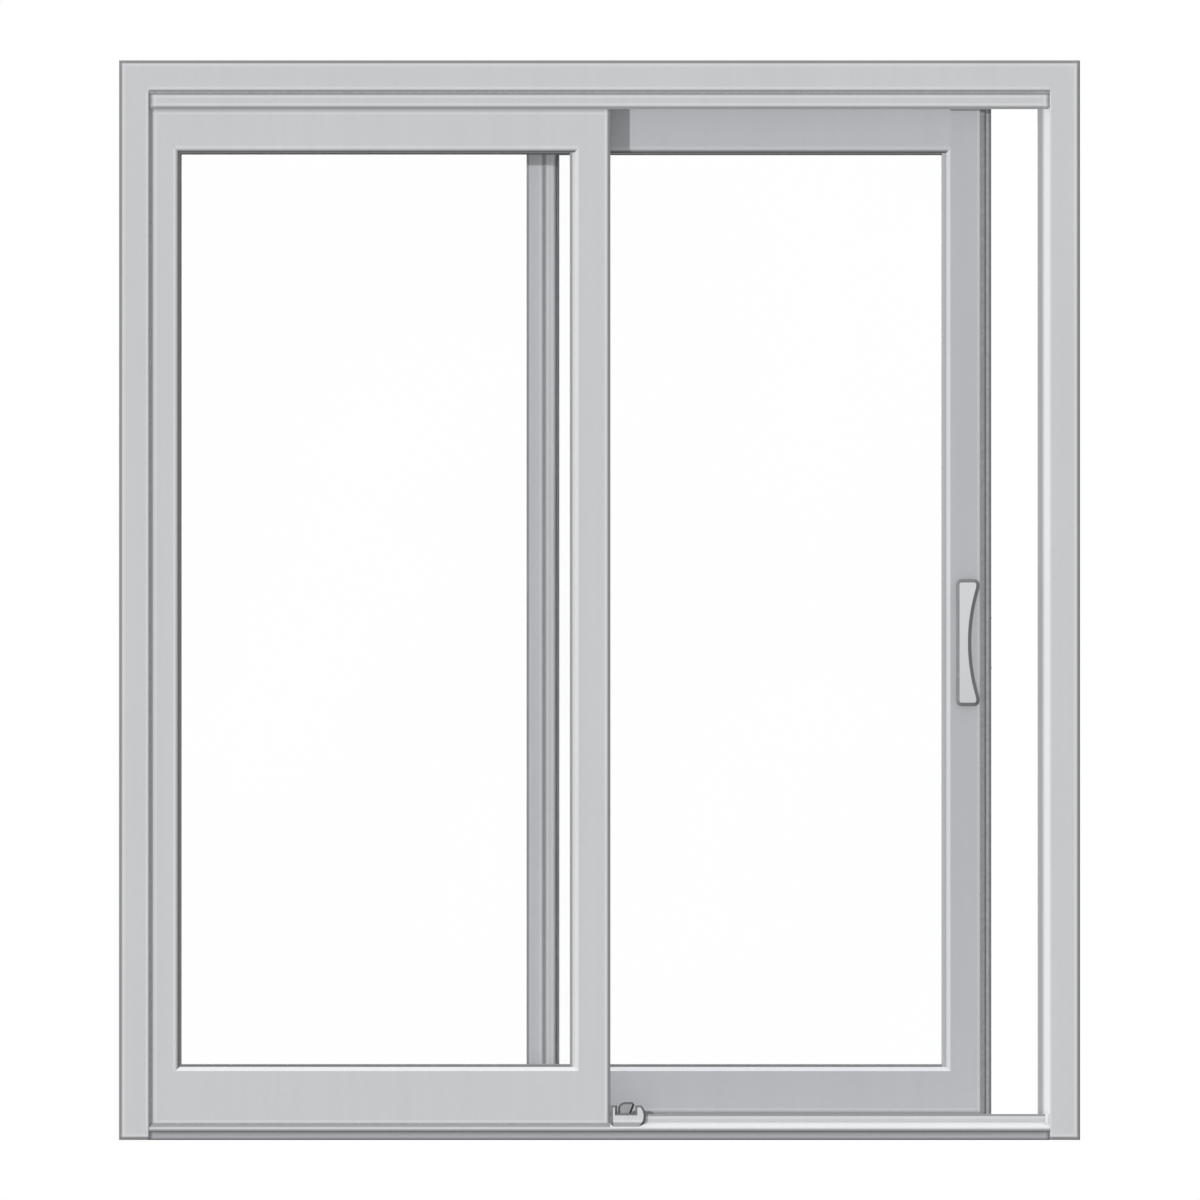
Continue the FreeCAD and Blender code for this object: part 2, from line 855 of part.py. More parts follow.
def sliding_panel():
    """Panel that runs on the rail behind the fixed one."""
    left, right = sliding_wall_left, sliding_wall_right
    wall = size("interlock_wall")
    step = sliding_left + size("interlock_plate")
    meeting = stile(
        "sliding_stile_meeting",
        sliding_left,
        left,
        left + bevel,
        sliding_front,
        sliding_bottom,
        sliding_top,
        rebate=(step, wall),
    )
    middle = frame_top / 2
    round_edges(meeting, "round", [(sliding_left, sliding_back, middle)], size("panel_round"))
    lock = stile(
        "sliding_stile_lock",
        lock_edge,
        right,
        right - bevel,
        sliding_front,
        sliding_bottom,
        sliding_top,
    )
    edges = [(lock_edge, sliding_front, middle), (lock_edge, sliding_back, middle)]
    round_edges(lock, "round", edges, size("panel_round"))
    channel = (size("channel_width") / 2, sliding_bottom + size("channel_height"))
    rail(
        "sliding_rail_bottom",
        sliding_bottom,
        wall_bottom,
        daylight_bottom,
        sliding_front,
        left,
        right,
        channel,
    )
    rail("sliding_rail_top", sliding_top, wall_top, daylight_top, sliding_front, left, right)
    glazing("sliding", sliding_front, left, right)

    tip = fixed_back + clearance
    section = [
        (sliding_left, tip),
        (sliding_left + wall, tip),
        (sliding_left + wall, sliding_front),
        (step, sliding_front),
        (step, sliding_front + wall),
        (sliding_left, sliding_front + wall),
    ]
    upright("sliding_interlock", section, ledge + clearance, leg_under - clearance)


# Lock

def lock_outline(width, height):
    """Outline of a lock part about the middle of the lock edge, as (y, z)."""
    half = size(width) / 2
    rise = size(height) / 2
    middle = size("lock_height")
    return rectangle(sliding_middle - half, middle - rise, sliding_middle + half, middle + rise)


def lock_edge_strip():
    """Stepped strip along the lock edge, with a recess for the lock's faceplate."""
    base = size("edge_strip_base") / 2
    tip = size("edge_strip_tip") / 2
    step = lock_edge + size("edge_strip_step")
    section = [
        (lock_edge, sliding_middle - base),
        (step, sliding_middle - base),
        (step, sliding_middle - tip),
        (edge_tip, sliding_middle - tip),
        (edge_tip, sliding_middle + tip),
        (step, sliding_middle + tip),
        (step, sliding_middle + base),
        (lock_edge, sliding_middle + base),
    ]
    body = upright("lock_edge_strip", section, sliding_bottom, sliding_top)
    edges = [(edge_tip, sliding_middle + side, frame_top / 2) for side in (-tip, tip)]
    round_edges(body, "round", edges, size("edge_strip_round"))
    recess = new_sketch(body, "recess", "YZ_Plane", edge_tip)
    draw_outline(recess, lock_outline("faceplate_width", "faceplate_height"))
    cut_depth(body, recess, size("lock_plate"))


def lock_faceplate():
    """Plate in the lock edge with the slot that the hook comes out of."""
    outline = lock_outline("faceplate_width", "faceplate_height")
    body = level("lock_faceplate", outline, edge_tip - size("lock_plate"), edge_tip)
    slot = new_sketch(body, "slot", "YZ_Plane", edge_tip)
    draw_outline(slot, lock_outline("hook_slot_width", "hook_slot_height"))
    cut_through(body, slot)


def strike_plate():
    """Plate in the lock jamb with the slot that takes the hook."""
    outline = lock_outline("strike_width", "strike_height")
    body = level("strike_plate", outline, jamb_inner, jamb_inner + size("lock_plate"))
    slot = new_sketch(body, "slot", "YZ_Plane", jamb_inner)
    draw_outline(slot, lock_outline("strike_slot_width", "strike_slot_height"))
    cut_through(body, slot)


# Handles

def arc_radius(chord, rise):
    """Radius of the arc that rises this far over this chord."""
    return (chord * chord / 4 + rise * rise) / (rise * 2)


def handle(label, face, outward):
    """Pull handle: straight on one side, scooped on the other, arched clear of the panel's face."""
    bottom = size("handle_bottom")
    top = bottom + size("handle_height")
    middle = bottom + size("handle_height") / 2
    right = lock_edge - size("handle_edge")
    left = right - size("handle_width")
    scoop_low = bottom + size("handle_foot")
    scoop_high = top - size("handle_foot")
    waist = right - size("handle_scoop")
    scoop_radius = arc_radius(scoop_high - scoop_low, size("handle_scoop"))

    body = new_body(label)
    outline = new_sketch(body, "outline", "XZ_Plane", -face)
    draw_outline(
        outline,
        [(left, bottom), (right, bottom), (right, scoop_low), (right, scoop_high), (right, top), (left, top)],
        {2: ((waist, middle), scoop_radius)},
    )
    pad(body, outline, size("handle_reach"), towards_back=outward > 0)

    end = face + size("handle_end_reach") * outward
    crown = face + size("handle_reach") * outward
    clear = crown + size("handle_reach") * outward
    arch_radius = arc_radius(size("handle_height"), size("handle_reach") - size("handle_end_reach"))
    arch = new_sketch(body, "arch", "YZ_Plane", ORIGIN)
    draw_outline(
        arch,
        [(end, bottom), (end, top), (clear, top), (clear, bottom)],
        {0: ((crown, middle), arch_radius)},
    )
    cut_through(body, arch)

    foot_low = bottom + size("finger_foot")
    foot_high = top - size("finger_foot")
    flare = size("finger_flare")
    grip = face + size("finger_gap") * outward
    gap = new_sketch(body, "finger_gap", "YZ_Plane", ORIGIN)
    draw_outline(
        gap,
        [(face, foot_low), (grip, foot_low + flare), (grip, foot_high - flare), (face, foot_high)],
    )
    cut_through(body, gap)

    depth = face + size("handle_end_reach") * outward / 2
    corners = [(left, depth, bottom), (right, depth, bottom), (left, depth, top), (right, depth, top)]
    round_edges(body, "corners", corners, size("handle_corner"))
    shoulders = [(right, depth, scoop_low), (right, depth, scoop_high)]
    round_edges(body, "shoulders", shoulders, size("handle_shoulder"))
    front = (left + size("handle_width") / 4, crown, middle)
    bevel_at(body, "Face", [front], size("handle_bevel"))
    edges = [(left, grip, middle), (waist, grip, middle)]
    round_edges(body, "grip", edges, size("grip_round"))


def thumb_turn():
    """Latch turn on the inner face of the lock stile, under the inner handle."""
    across = (lock_edge + sliding_wall_right) / 2
    up = size("handle_bottom") - size("turn_drop")
    body = new_body("thumb_turn")
    base = new_sketch(body, "base", "XZ_Plane", -sliding_back)
    draw_circle(base, across, up, size("turn_radius"))
    pad(body, base, size("turn_base"), towards_back=True)
    half = size("turn_width") / 2
    rise = size("turn_length") / 2
    lever = new_sketch(body, "lever", "XZ_Plane", -(sliding_back + size("turn_base")))
    draw_outline(lever, rectangle(across - half, up - rise, across + half, up + rise))
    pad(body, lever, size("turn_reach"), towards_back=True)
    depth = sliding_back + size("turn_base") + size("turn_reach") / 2
    corners = []
    for side in (-half, half):
        corners += [(across + side, depth, up - rise), (across + side, depth, up + rise)]
    round_edges(body, "ends", corners, half * TURN_END_ROUNDNESS)


# Rollers

def roller_places():
    """Where the two rollers stand along the bottom rail."""
    inset = size("roller_inset")
    return {"left": sliding_wall_left + inset, "right": sliding_wall_right - inset}


def roller_centre():
    """Height of the roller's axle above the rail."""
    tread_radius = size("roller_radius") - size("roller_groove")
    return size("rail_top") + size("roller_gap") + tread_radius


def repeat_along(body, distance):
    """A second copy of the whole body, moved to the right."""
    pattern = body.newObject("PartDesign::LinearPattern", f"{body.Label}_pair")
    pattern.Originals = [item for item in body.Group if item.TypeId in ADDED_OR_CUT]
    pattern.Direction = (origin_feature(body, "X_Axis"), [""])
    pattern.Occurrences = 2
    bind(pattern, "Length", distance)
    body.Tip = pattern
    doc.recompute()


ADDED_OR_CUT = ("PartDesign::Pad", "PartDesign::Pocket", "PartDesign::Revolution")


def roller_wheels():
    """Two grooved wheels, each turned in one piece with its axle."""
    places = roller_places()
    centre = roller_centre()
    half_axle = size("axle_length") / 2
    half_wheel = size("roller_width") / 2
    half_tread = size("roller_tread") / 2
    half_mouth = half_tread + size("roller_flare")
    rim = centre + size("roller_radius")
    tread = rim - size("roller_groove")
    axle = centre + size("axle_radius")
    body = new_body("roller_wheels")
    sketch = new_sketch(body, "section", "YZ_Plane", places["left"])
    half_section = [
        (half_axle, centre),
        (half_axle, axle),
        (half_wheel, axle),
        (half_wheel, rim),
        (half_mouth, rim),
        (half_tread, tread),
    ]
    right_side = [(sliding_middle + out, up) for out, up in half_section]
    left_side = [(sliding_middle - out, up) for out, up in reversed(half_section)]
    draw_outline(sketch, right_side + left_side)
    wheel = body.newObject("PartDesign::Revolution", "roller_wheel_turned")
    wheel.Profile = sketch
    last_side = len(right_side + left_side) - 1
    wheel.ReferenceAxis = (sketch, [f"Edge{last_side + 1}"])
    wheel.Angle = 360
    doc.recompute()
    repeat_along(body, places["right"] - places["left"])


def roller_housings():
    """Two housings in the bottom rail's channel, each slotted for its wheel and bored for the axle."""
    places = roller_places()
    half_length = size("housing_length") / 2
    half_width_housing = size("channel_width") / 2 - size("housing_gap")
    bottom = sliding_bottom + size("housing_rise")
    top = sliding_bottom + size("channel_height")
    left = places["left"]
    body = new_body("roller_housings")
    outline = new_sketch(body, "outline", "XY_Plane", bottom)
    draw_outline(
        outline,
        rectangle(
            left - half_length,
            sliding_middle - half_width_housing,
            left + half_length,
            sliding_middle + half_width_housing,
        ),
    )
    pad(body, outline, top - bottom)
    half_slot = size("housing_slot_length") / 2
    half_slot_width = size("housing_slot_width") / 2
    slot = new_sketch(body, "slot", "XY_Plane", bottom)
    draw_outline(
        slot,
        rectangle(
            left - half_slot,
            sliding_middle - half_slot_width,
            left + half_slot,
            sliding_middle + half_slot_width,
        ),
    )
    cut_depth(body, slot, size("housing_slot_height"), along_normal=True)
    bore = new_sketch(body, "bore", "XZ_Plane", ORIGIN)
    draw_circle(bore, left, roller_centre(), size("axle_radius") + size("axle_clearance"))
    cut_through(body, bore)
    repeat_along(body, places["right"] - places["left"])


# Foot block

def foot_left():
    """Left side of the foot block, just clear of the fixed panel."""
    return fixed_right + size("foot_offset")


def foot_right():
    """Right side of the foot block at its top and bottom, where its bulge starts."""
    return foot_left() + size("foot_width")


def foot_seat():
    """Height of the floor between the foot block's lugs."""
    return cover_top + size("foot_plate")


def foot_toe():
    """Front of the foot block, out over the slope of the sill's lip."""
    return ledge_front - size("foot_reach")


def foot_block():
    """Block on the sill cover beside the fixed panel: an apron down to the sill's slope, and two lugs."""
    left = foot_left()
    right = foot_right()
    inner_left = left + size("lug_thickness")
    inner_right = right - size("lug_thickness")
    seat = foot_seat()
    top = seat + size("lug_height")
    toe = foot_toe()
    rear = toe + size("foot_depth")
    lip_slope = (ledge - lip_top) / (ledge_front - outside)
    bottom = ledge - lip_slope * size("foot_reach")
    bulge = (right + size("foot_bulge"), (bottom + top) / 2)
    bulge_radius = arc_radius(top - bottom, size("foot_bulge"))

    body = new_body("foot_block")
    outline = new_sketch(body, "outline", "XZ_Plane", -toe)
    draw_outline(
        outline,
        [
            (left, bottom),
            (right, bottom),
            (right, top),
            (inner_right, top),
            (inner_right, seat),
            (inner_left, seat),
            (inner_left, top),
            (left, top),
        ],
        {1: (bulge, bulge_radius)},
    )
    pad(body, outline, rear - toe, towards_back=True)
    lug_middle = (seat + top) / 2
    edges = [(left, toe, lug_middle), ((left + inner_left) / 2, toe, top), (inner_left, toe, lug_middle)]
    edges += [((inner_left + inner_right) / 2, toe, seat), (inner_right, toe, lug_middle)]
    edges += [((inner_right + right) / 2, toe, top), (bulge[0], toe, bulge[1])]
    bevel_at(body, "Edge", edges, size("foot_bevel"))

    underside = new_sketch(body, "underside", "YZ_Plane", ORIGIN)
    draw_outline(
        underside,
        [
            (toe, ORIGIN),
            (toe, bottom),
            (ledge_front, ledge),
            (cover_face, ledge + size("cover_toe_height")),
            (cover_face, cover_top),
            (rear, cover_top),
            (rear, ORIGIN),
        ],
    )
    cut_through(body, underside)


def foot_knob():
    """Knob between the lugs: a round left shoulder, and a right side that leans out over its lug."""
    front = foot_toe() + size("knob_inset")
    back = front + size("knob_depth")
    seat = foot_seat()
    crown = seat + size("knob_height")
    left = foot_left() + size("lug_thickness") + size("knob_gap")
    lug_side = foot_right() - size("lug_thickness") - size("knob_gap")
    lean = size("knob_lean") / size("knob_height")
    right_foot = lug_side - lean * size("lug_height")
    right_crown = right_foot + size("knob_lean")
    outline = [(left, seat), (right_foot, seat), (right_crown, crown), (left, crown)]
    body = sheet_piece("foot_knob", outline, front, back)
    depth = (front + back) / 2
    round_edges(body, "shoulder", [(left, depth, crown)], size("knob_shoulder"))
    round_edges(body, "tip", [(right_crown, depth, crown)], size("knob_tip"))
    crown_edge = ((left + right_crown) / 2, front, crown)
    bevel_at(body, "Edge", [crown_edge], size("knob_bevel"))


def build():
    """Every piece of the door, then its handles, lock and rollers."""
    jamb_left()
    jamb_right()
    head()
    head_stop()
    lock_stop()
    sill_base()
    sill_nose()
    sill_cover()
    threshold()
    roller_rail()
    fixed_panel()
    sliding_panel()
    lock_edge_strip()
    lock_faceplate()
    strike_plate()
    handle("handle_exterior", sliding_front, -1)
    handle("handle_interior", sliding_back, 1)
    thumb_turn()
    roller_wheels()
    roller_housings()
    foot_block()
    foot_knob()


def check():
    """Stops if any feature failed or any piece has no valid shape."""
    doc.recompute()
    for item in doc.Objects:
        if "Invalid" in item.State or "Error" in item.State:
            raise RuntimeError(f"{item.Label} failed: {item.State}")
    for body in nodes:
        if body.Shape.isNull() or not body.Shape.isValid():
            raise RuntimeError(f"{body.Label} has no valid shape")


def write():
    """One STEP file for each piece."""
    os.makedirs("parts", exist_ok=True)
    for body in nodes:
        body.Shape.exportStep(os.path.join("parts", f"{body.Label}.step"))


build()
check()
write()
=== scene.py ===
# A glass sliding patio door in its frame: finishes, seals, small fittings, light and camera.
# Everything is in metres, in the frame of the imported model; small lengths are millimetres times MM.
import math

import bpy
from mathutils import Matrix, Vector
from mathutils.bvhtree import BVHTree

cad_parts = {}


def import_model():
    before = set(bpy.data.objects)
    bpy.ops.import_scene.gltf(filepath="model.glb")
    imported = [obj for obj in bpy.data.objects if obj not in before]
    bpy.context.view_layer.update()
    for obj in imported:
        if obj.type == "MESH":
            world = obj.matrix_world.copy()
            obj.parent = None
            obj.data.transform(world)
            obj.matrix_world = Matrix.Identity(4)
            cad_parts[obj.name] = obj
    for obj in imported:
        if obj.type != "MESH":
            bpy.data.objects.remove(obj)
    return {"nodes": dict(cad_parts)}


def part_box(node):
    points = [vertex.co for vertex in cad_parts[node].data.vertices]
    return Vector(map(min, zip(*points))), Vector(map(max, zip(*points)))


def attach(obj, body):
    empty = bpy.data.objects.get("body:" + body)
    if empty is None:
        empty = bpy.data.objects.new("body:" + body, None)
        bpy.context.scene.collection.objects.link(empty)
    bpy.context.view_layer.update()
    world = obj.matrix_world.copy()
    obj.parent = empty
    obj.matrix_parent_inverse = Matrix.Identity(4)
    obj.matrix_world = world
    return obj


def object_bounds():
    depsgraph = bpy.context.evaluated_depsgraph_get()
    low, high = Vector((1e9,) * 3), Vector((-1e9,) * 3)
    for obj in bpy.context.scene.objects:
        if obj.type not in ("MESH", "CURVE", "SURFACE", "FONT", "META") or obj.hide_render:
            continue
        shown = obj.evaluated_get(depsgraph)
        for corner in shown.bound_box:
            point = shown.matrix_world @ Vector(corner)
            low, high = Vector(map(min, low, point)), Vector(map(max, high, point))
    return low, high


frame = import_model()
cad_low, cad_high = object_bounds()
nodes = frame["nodes"]

MM = 0.001
X, Y, Z = 0, 1, 2


def low(node):
    """Lowest corner of a CAD node."""
    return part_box(node)[0]


def high(node):
    """Highest corner of a CAD node."""
    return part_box(node)[1]


def middle(node, axis):
    """Middle of a CAD node along an axis."""
    return (low(node)[axis] + high(node)[axis]) / 2


# Planes of the frame, the sill and the panels that the pieces below line up with

frame_left = low("jamb_left").x
frame_right = high("jamb_right").x
frame_top = high("head").z
frame_face = low("jamb_left").y
jamb_left_inner = high("jamb_left").x
jamb_right_inner = high("lock_stop").x
lock_stop_tip = low("lock_stop").x
stop_face = low("head_stop").y
stop_top = high("head_stop").z
stop_bottom = low("head_stop").z
nose_top = high("sill_nose").z
cover_top = high("sill_cover").z

pocket_floor = low("fixed_stile_left").x
fixed_face = low("fixed_stile_left").y
fixed_bottom = low("fixed_stile_left").z
fixed_edge = high("fixed_stile_meeting").x
fixed_daylight_left = high("fixed_stile_left").x
fixed_daylight_top = low("fixed_rail_top").z

sliding_edge = low("sliding_stile_meeting").x
sliding_back = high("sliding_stile_lock").y
sliding_daylight_left = high("sliding_stile_meeting").x
sliding_daylight_top = low("sliding_rail_top").z
step_edge = high("sliding_interlock").x
lock_edge = high("sliding_stile_lock").x
edge_tip = high("lock_edge_strip").x


# Shader building

# How squarely a surface faces front or back, from where an effect sets in or wanes to where it ends
FACE_ONSET = (0.2, 0.6)
LEVEL_ONSET = (0.96, 0.99)
BEVEL_ONSET = (0.5, 0.65)
BEVEL_END = (0.85, 0.97)
TURNED_END = (0.8, 0.97)

# How open a corner is, from where its painted shade is darkest to where it isn't darkened
CREVICE_OPEN = (0.25, 0.9)
CREVICE_SAMPLES = 8

# Painted highlight, a lighter band beside a dark edge: its gain, and in mm its width past the dark part,
# how far it starts inside that part's fading, and how softly it rises and falls
EDGE_HIGHLIGHT_GAIN = 0.13
EDGE_HIGHLIGHT_WIDTH = 5.5
EDGE_HIGHLIGHT_OVERLAP = 1
EDGE_HIGHLIGHT_RISE = 2
EDGE_HIGHLIGHT_FALL = 3


class Shader:
    """A material's node tree, with short calls that add nodes and link them."""

    def __init__(self, name):
        self.material = bpy.data.materials.new(name)
        self.material.use_nodes = True
        self.tree = self.material.node_tree
        self.tree.nodes.clear()
        self.place = self.node("TexCoord").outputs["Object"]

    def put(self, socket, value):
        """Sets a socket, or links it when the value comes from another node."""
        if isinstance(value, bpy.types.NodeSocket):
            self.tree.links.new(value, socket)
        else:
            socket.default_value = value

    def node(self, kind, inputs=None, **settings):
        """A node with these settings and these values on its inputs."""
        made = self.tree.nodes.new("ShaderNode" + kind)
        for setting, value in settings.items():
            setattr(made, setting, value)
        for socket, value in (inputs or {}).items():
            self.put(made.inputs[socket], value)
        return made

    def math(self, operation, *values):
        """A Math node's result."""
        return self.node("Math", dict(enumerate(values)), operation=operation).outputs[0]

    def spread(self, value, start, end, first, last, smooth=False):
        """The value carried from one range to another, held at its ends."""
        way = "SMOOTHSTEP" if smooth else "LINEAR"
        inputs = {"Value": value, "From Min": start, "From Max": end, "To Min": first, "To Max": last}
        return self.node("MapRange", inputs, interpolation_type=way).outputs["Result"]

    def vary(self, noise, first, last, start=0.3, end=0.7):
        """A tone or roughness that goes from first to last over the middle of the noise's range."""
        return self.spread(noise, start, end, first, last)

    def noise(self, waves, detail=2.0, place=None):
        """Noise from 0 to 1 at this many waves a metre."""
        inputs = {"Vector": place or self.place, "Scale": waves, "Detail": detail, "Roughness": 0.55}
        return self.node("TexNoise", inputs).outputs["Fac"]

    def grain(self, waves, detail):
        """Noise from 0 to 1 with its own waves a metre along each axis."""
        stretched = self.node("Mapping", {"Vector": self.place, "Scale": waves}).outputs["Vector"]
        return self.noise(1.0, detail, stretched)

    def tint(self, colour, tone):
        """A colour made lighter or darker all over the surface by the tone."""
        inputs = {0: colour, "Scale": tone}
        return self.node("VectorMath", inputs, operation="SCALE").outputs["Vector"]

    def bump(self, height, strength, distance):
        """A normal that follows the height."""
        inputs = {"Height": height, "Strength": strength, "Distance": distance}
        return self.node("Bump", inputs).outputs["Normal"]

    def towards(self, axis):
        """How far the surface faces along an axis, from -1 to 1."""
        normal = self.node("NewGeometry").outputs["Normal"]
        return self.node("SeparateXYZ", {"Vector": normal}).outputs[axis]

    def facing(self, axis):
        """How squarely the surface faces along an axis, either way."""
        return self.math("ABSOLUTE", self.towards(axis))

    def turned(self, tone):
        """Tone of all that doesn't face straight to the front or back."""
        return self.spread(self.facing(Y), *TURNED_END, tone, 1.0)

    def slopes(self, lit, shaded):
        """Tone of bevels: one for those towards the light at the upper left, one for the others."""
        sloping = self.spread(self.facing(Y), *BEVEL_ONSET, 0.0, 1.0)
        not_flat = self.spread(self.facing(Y), *BEVEL_END, 1.0, 0.0)
        away = self.math("SUBTRACT", self.towards(X), self.towards(Z))
        gain = self.spread(away, -0.3, 0.3, lit - 1, shaded - 1)
        return self.math("MULTIPLY_ADD", self.math("MULTIPLY", sloping, not_flat), gain, 1.0)

    def corner_shade(self, reach, darkest):
        """Painted shade that falls where other surfaces close in, from ambient occlusion."""
        occlusion = self.node("AmbientOcclusion", {"Distance": reach}, samples=CREVICE_SAMPLES)
        return self.spread(occlusion.outputs["AO"], *CREVICE_OPEN, darkest, 1.0)

    def lines(self, marks):
        """Outlines and painted shade along edges of front and back faces, with a painted highlight
        beside.

        Each mark is the axis it is measured along, the edge's place, the width of the dark part and
        of its fading (mm), how much of the light it takes, and its span along another axis, if any.
        """
        parts = self.node("SeparateXYZ", {"Vector": self.place}).outputs
        front = self.spread(self.facing(Y), *FACE_ONSET, 0.0, 1.0, smooth=True)
        level = self.spread(self.facing(Y), *LEVEL_ONSET, 0.0, EDGE_HIGHLIGHT_GAIN)
        shade, highlight = 0.0, 0.0
        for axis, place, core, fade, depth, span in marks:
            away = self.math("ABSOLUTE", self.math("SUBTRACT", parts[axis], place))
            dark = self.spread(away, core * MM, (core + fade) * MM, depth, 0.0, smooth=True)
            start = (core + fade - EDGE_HIGHLIGHT_OVERLAP) * MM
            end = (core + fade + EDGE_HIGHLIGHT_WIDTH) * MM
            rise = self.spread(away, start, start + EDGE_HIGHLIGHT_RISE * MM, 0.0, 1.0, smooth=True)
            fall = self.spread(away, end - EDGE_HIGHLIGHT_FALL * MM, end, 1.0, 0.0, smooth=True)
            light = self.math("MULTIPLY", rise, fall)
            if span:
                along, first, last = span
                after = self.math("GREATER_THAN", parts[along], first)
                before = self.math("LESS_THAN", parts[along], last)
                inside = self.math("MULTIPLY", after, before)
                dark = self.math("MULTIPLY", dark, inside)
                light = self.math("MULTIPLY", light, inside)
            shade = self.math("MAXIMUM", shade, dark)
            highlight = self.math("MAXIMUM", highlight, light)
        darkened = self.math("SUBTRACT", 1.0, self.math("MULTIPLY", shade, front))
        return self.math("MULTIPLY", darkened, self.math("MULTIPLY_ADD", highlight, level, 1.0))

    def product(self, tones):
        """All tones multiplied together."""
        result = tones[0]
        for tone in tones[1:]:
            result = self.math("MULTIPLY", result, tone)
        return result

    def surface(self, shader):
        """Ends the tree with this shader and gives the material."""
        self.node("OutputMaterial", {"Surface": shader})
        return self.material

    def principled(self, **inputs):
        """Ends the tree with a Principled shader; words in the names are joined by underscores."""
        values = {name.replace("_", " "): value for name, value in inputs.items()}
        return self.surface(self.node("BsdfPrincipled", values).outputs["BSDF"])


# Colours

GREY = (0.478, 0.484, 0.495)
# The sliding panel's grey is the frame's grey made darker: painted shade for the panel behind the fixed
# one
SHADED_SLIDING_GREY = (0.378, 0.387, 0.402)
# The lock stop's grey is lighter than the frame's: painted light on its splayed face, which turns
# towards the light
LIT_STOP_GREY = (0.635, 0.638, 0.65)
HANDLE_GREY = (0.519, 0.525, 0.537)
NOSE_GREY = (0.283, 0.289, 0.304)
SEAL_GREY = (0.18, 0.182, 0.187)
FRAME_SEAL_GREY = (0.46, 0.465, 0.476)
HEAD_SEAL_GREY = (0.35, 0.354, 0.362)
SILL_SEAL_GREY = (0.255, 0.258, 0.265)
STRIP_GREY = (0.307, 0.312, 0.325)
STRIP_PAINT_GREY = (0.33, 0.337, 0.35)
PILE_GREY = (0.24, 0.24, 0.245)
FOOT_GREY = (0.525, 0.53, 0.542)
KNOB_GREY = (0.262, 0.267, 0.278)
STEEL = (0.56, 0.56, 0.555)
MILL = (0.6, 0.61, 0.62)
NYLON = (0.68, 0.67, 0.63)
GLASS_TINT = (0.998, 0.9985, 1.0)
GLASS_PASSED = (0.986, 0.986, 0.987, 1)
FLOOR_GREY = (0.86, 0.86, 0.86)

# Tones of bevels, towards the light and away from it
PANEL_SLOPES = (1.05, 1.6)
SLIDING_SLOPES = (1.2, 1.6)
HANDLE_SLOPES = (0.82, 1.0)

# Tone of the painted shade in the sliding panel's corners, which the drawing keeps lighter than the
# frame's
SLIDING_CORNER = 0.88


# Finishes

def paint(name, colour, marks=(), bevel_tone=1.0, top_light_gain=1.45, slopes=None, corner=0.68):
    """Satin factory paint with clouds, rain streaks and orange peel, and painted light and shade.

    The marks are dark lines along edges, outlines and painted shade; bevel_tone darkens what is turned
    away from front and back; the top light gain is painted light on ledges and all that faces up;
    slopes are the tones of bevels in the light and out of it; corner is the painted shade of crevices.
    """
    shader = Shader(name)
    cloud = shader.vary(shader.noise(2.3, detail=3.0), 0.985, 1.015)
    streak = shader.vary(shader.grain((38, 38, 1.1), detail=3.0), 1.012, 0.982, end=0.75)
    mottle = shader.vary(shader.noise(160.0), 0.99, 1.01)
    # Painted light: ledges and all that faces up come out lighter, as the light falls from above
    painted_top_light = shader.spread(shader.towards(Z), 0.25, 0.7, 1.0, top_light_gain)
    tones = [cloud, streak, mottle, painted_top_light, shader.corner_shade(14 * MM, corner)]
    if marks:
        tones.append(shader.lines(marks))
    if bevel_tone < 1:
        tones.append(shader.turned(bevel_tone))
    if slopes:
        tones.append(shader.slopes(*slopes))
    peel = shader.noise(620.0)
    return shader.principled(
        Base_Color=shader.tint(colour, shader.product(tones)),
        Roughness=shader.vary(shader.noise(75.0, detail=3.0), 0.4, 0.52),
        Specular_IOR_Level=0.35,
        Normal=shader.bump(peel, strength=0.07, distance=0.5 * MM),
    )


def anodised(name, colour, marks):
    """Dull anodised extrusion with fine die lines along its length, painted shade in crevices and dark
    edges.
    """
    shader = Shader(name)
    die = shader.grain((6, 700, 700), detail=3.0)
    tones = [shader.vary(die, 0.95, 1.05), shader.corner_shade(12 * MM, 0.7), shader.lines(marks)]
    return shader.principled(
        Base_Color=shader.tint(colour, shader.product(tones)),
        Metallic=0.25,
        Roughness=shader.vary(shader.noise(60.0), 0.42, 0.55),
        Normal=shader.bump(die, strength=0.1, distance=0.3 * MM),
    )


def brushed(name, colour, waves):
    """Brushed or plated steel, painted shade in crevices, its grain's waves a metre along each axis."""
    shader = Shader(name)
    lay = shader.grain(waves, detail=4.0)
    streaks = shader.vary(lay, 0.86, 1.1, start=0.25, end=0.75)
    stain = shader.vary(shader.noise(45.0, detail=3.0), 1.0, 0.86, start=0.35, end=0.75)
    tone = shader.product([streaks, stain, shader.corner_shade(6 * MM, 0.55)])
    return shader.principled(
        Base_Color=shader.tint(colour, tone),
        Metallic=0.9,
        Roughness=shader.vary(lay, 0.26, 0.44, start=0.25, end=0.75),
        Normal=shader.bump(lay, strength=0.14, distance=0.2 * MM),
    )


def mill_spacer(name):
    """Mill-finish spacer bar with rows of breather holes along its inner face."""
    shader = Shader(name)
    hole_pitch = 6 * MM
    parts = shader.node("SeparateXYZ", {"Vector": shader.place}).outputs
    along = shader.math("ADD", parts[X], parts[Z])
    wave = shader.math("SINE", shader.math("MULTIPLY", along, 2 * math.pi / hole_pitch))
    hole = shader.spread(wave, 0.75, 0.9, 1.0, 0.55)
    grain = shader.vary(shader.noise(90.0, detail=3.0), 0.94, 1.05)
    return shader.principled(
        Base_Color=shader.tint(MILL, shader.math("MULTIPLY", hole, grain)),
        Metallic=0.7,
        Roughness=shader.vary(shader.noise(200.0), 0.35, 0.5),
        Normal=shader.bump(wave, strength=0.1, distance=0.2 * MM),
    )


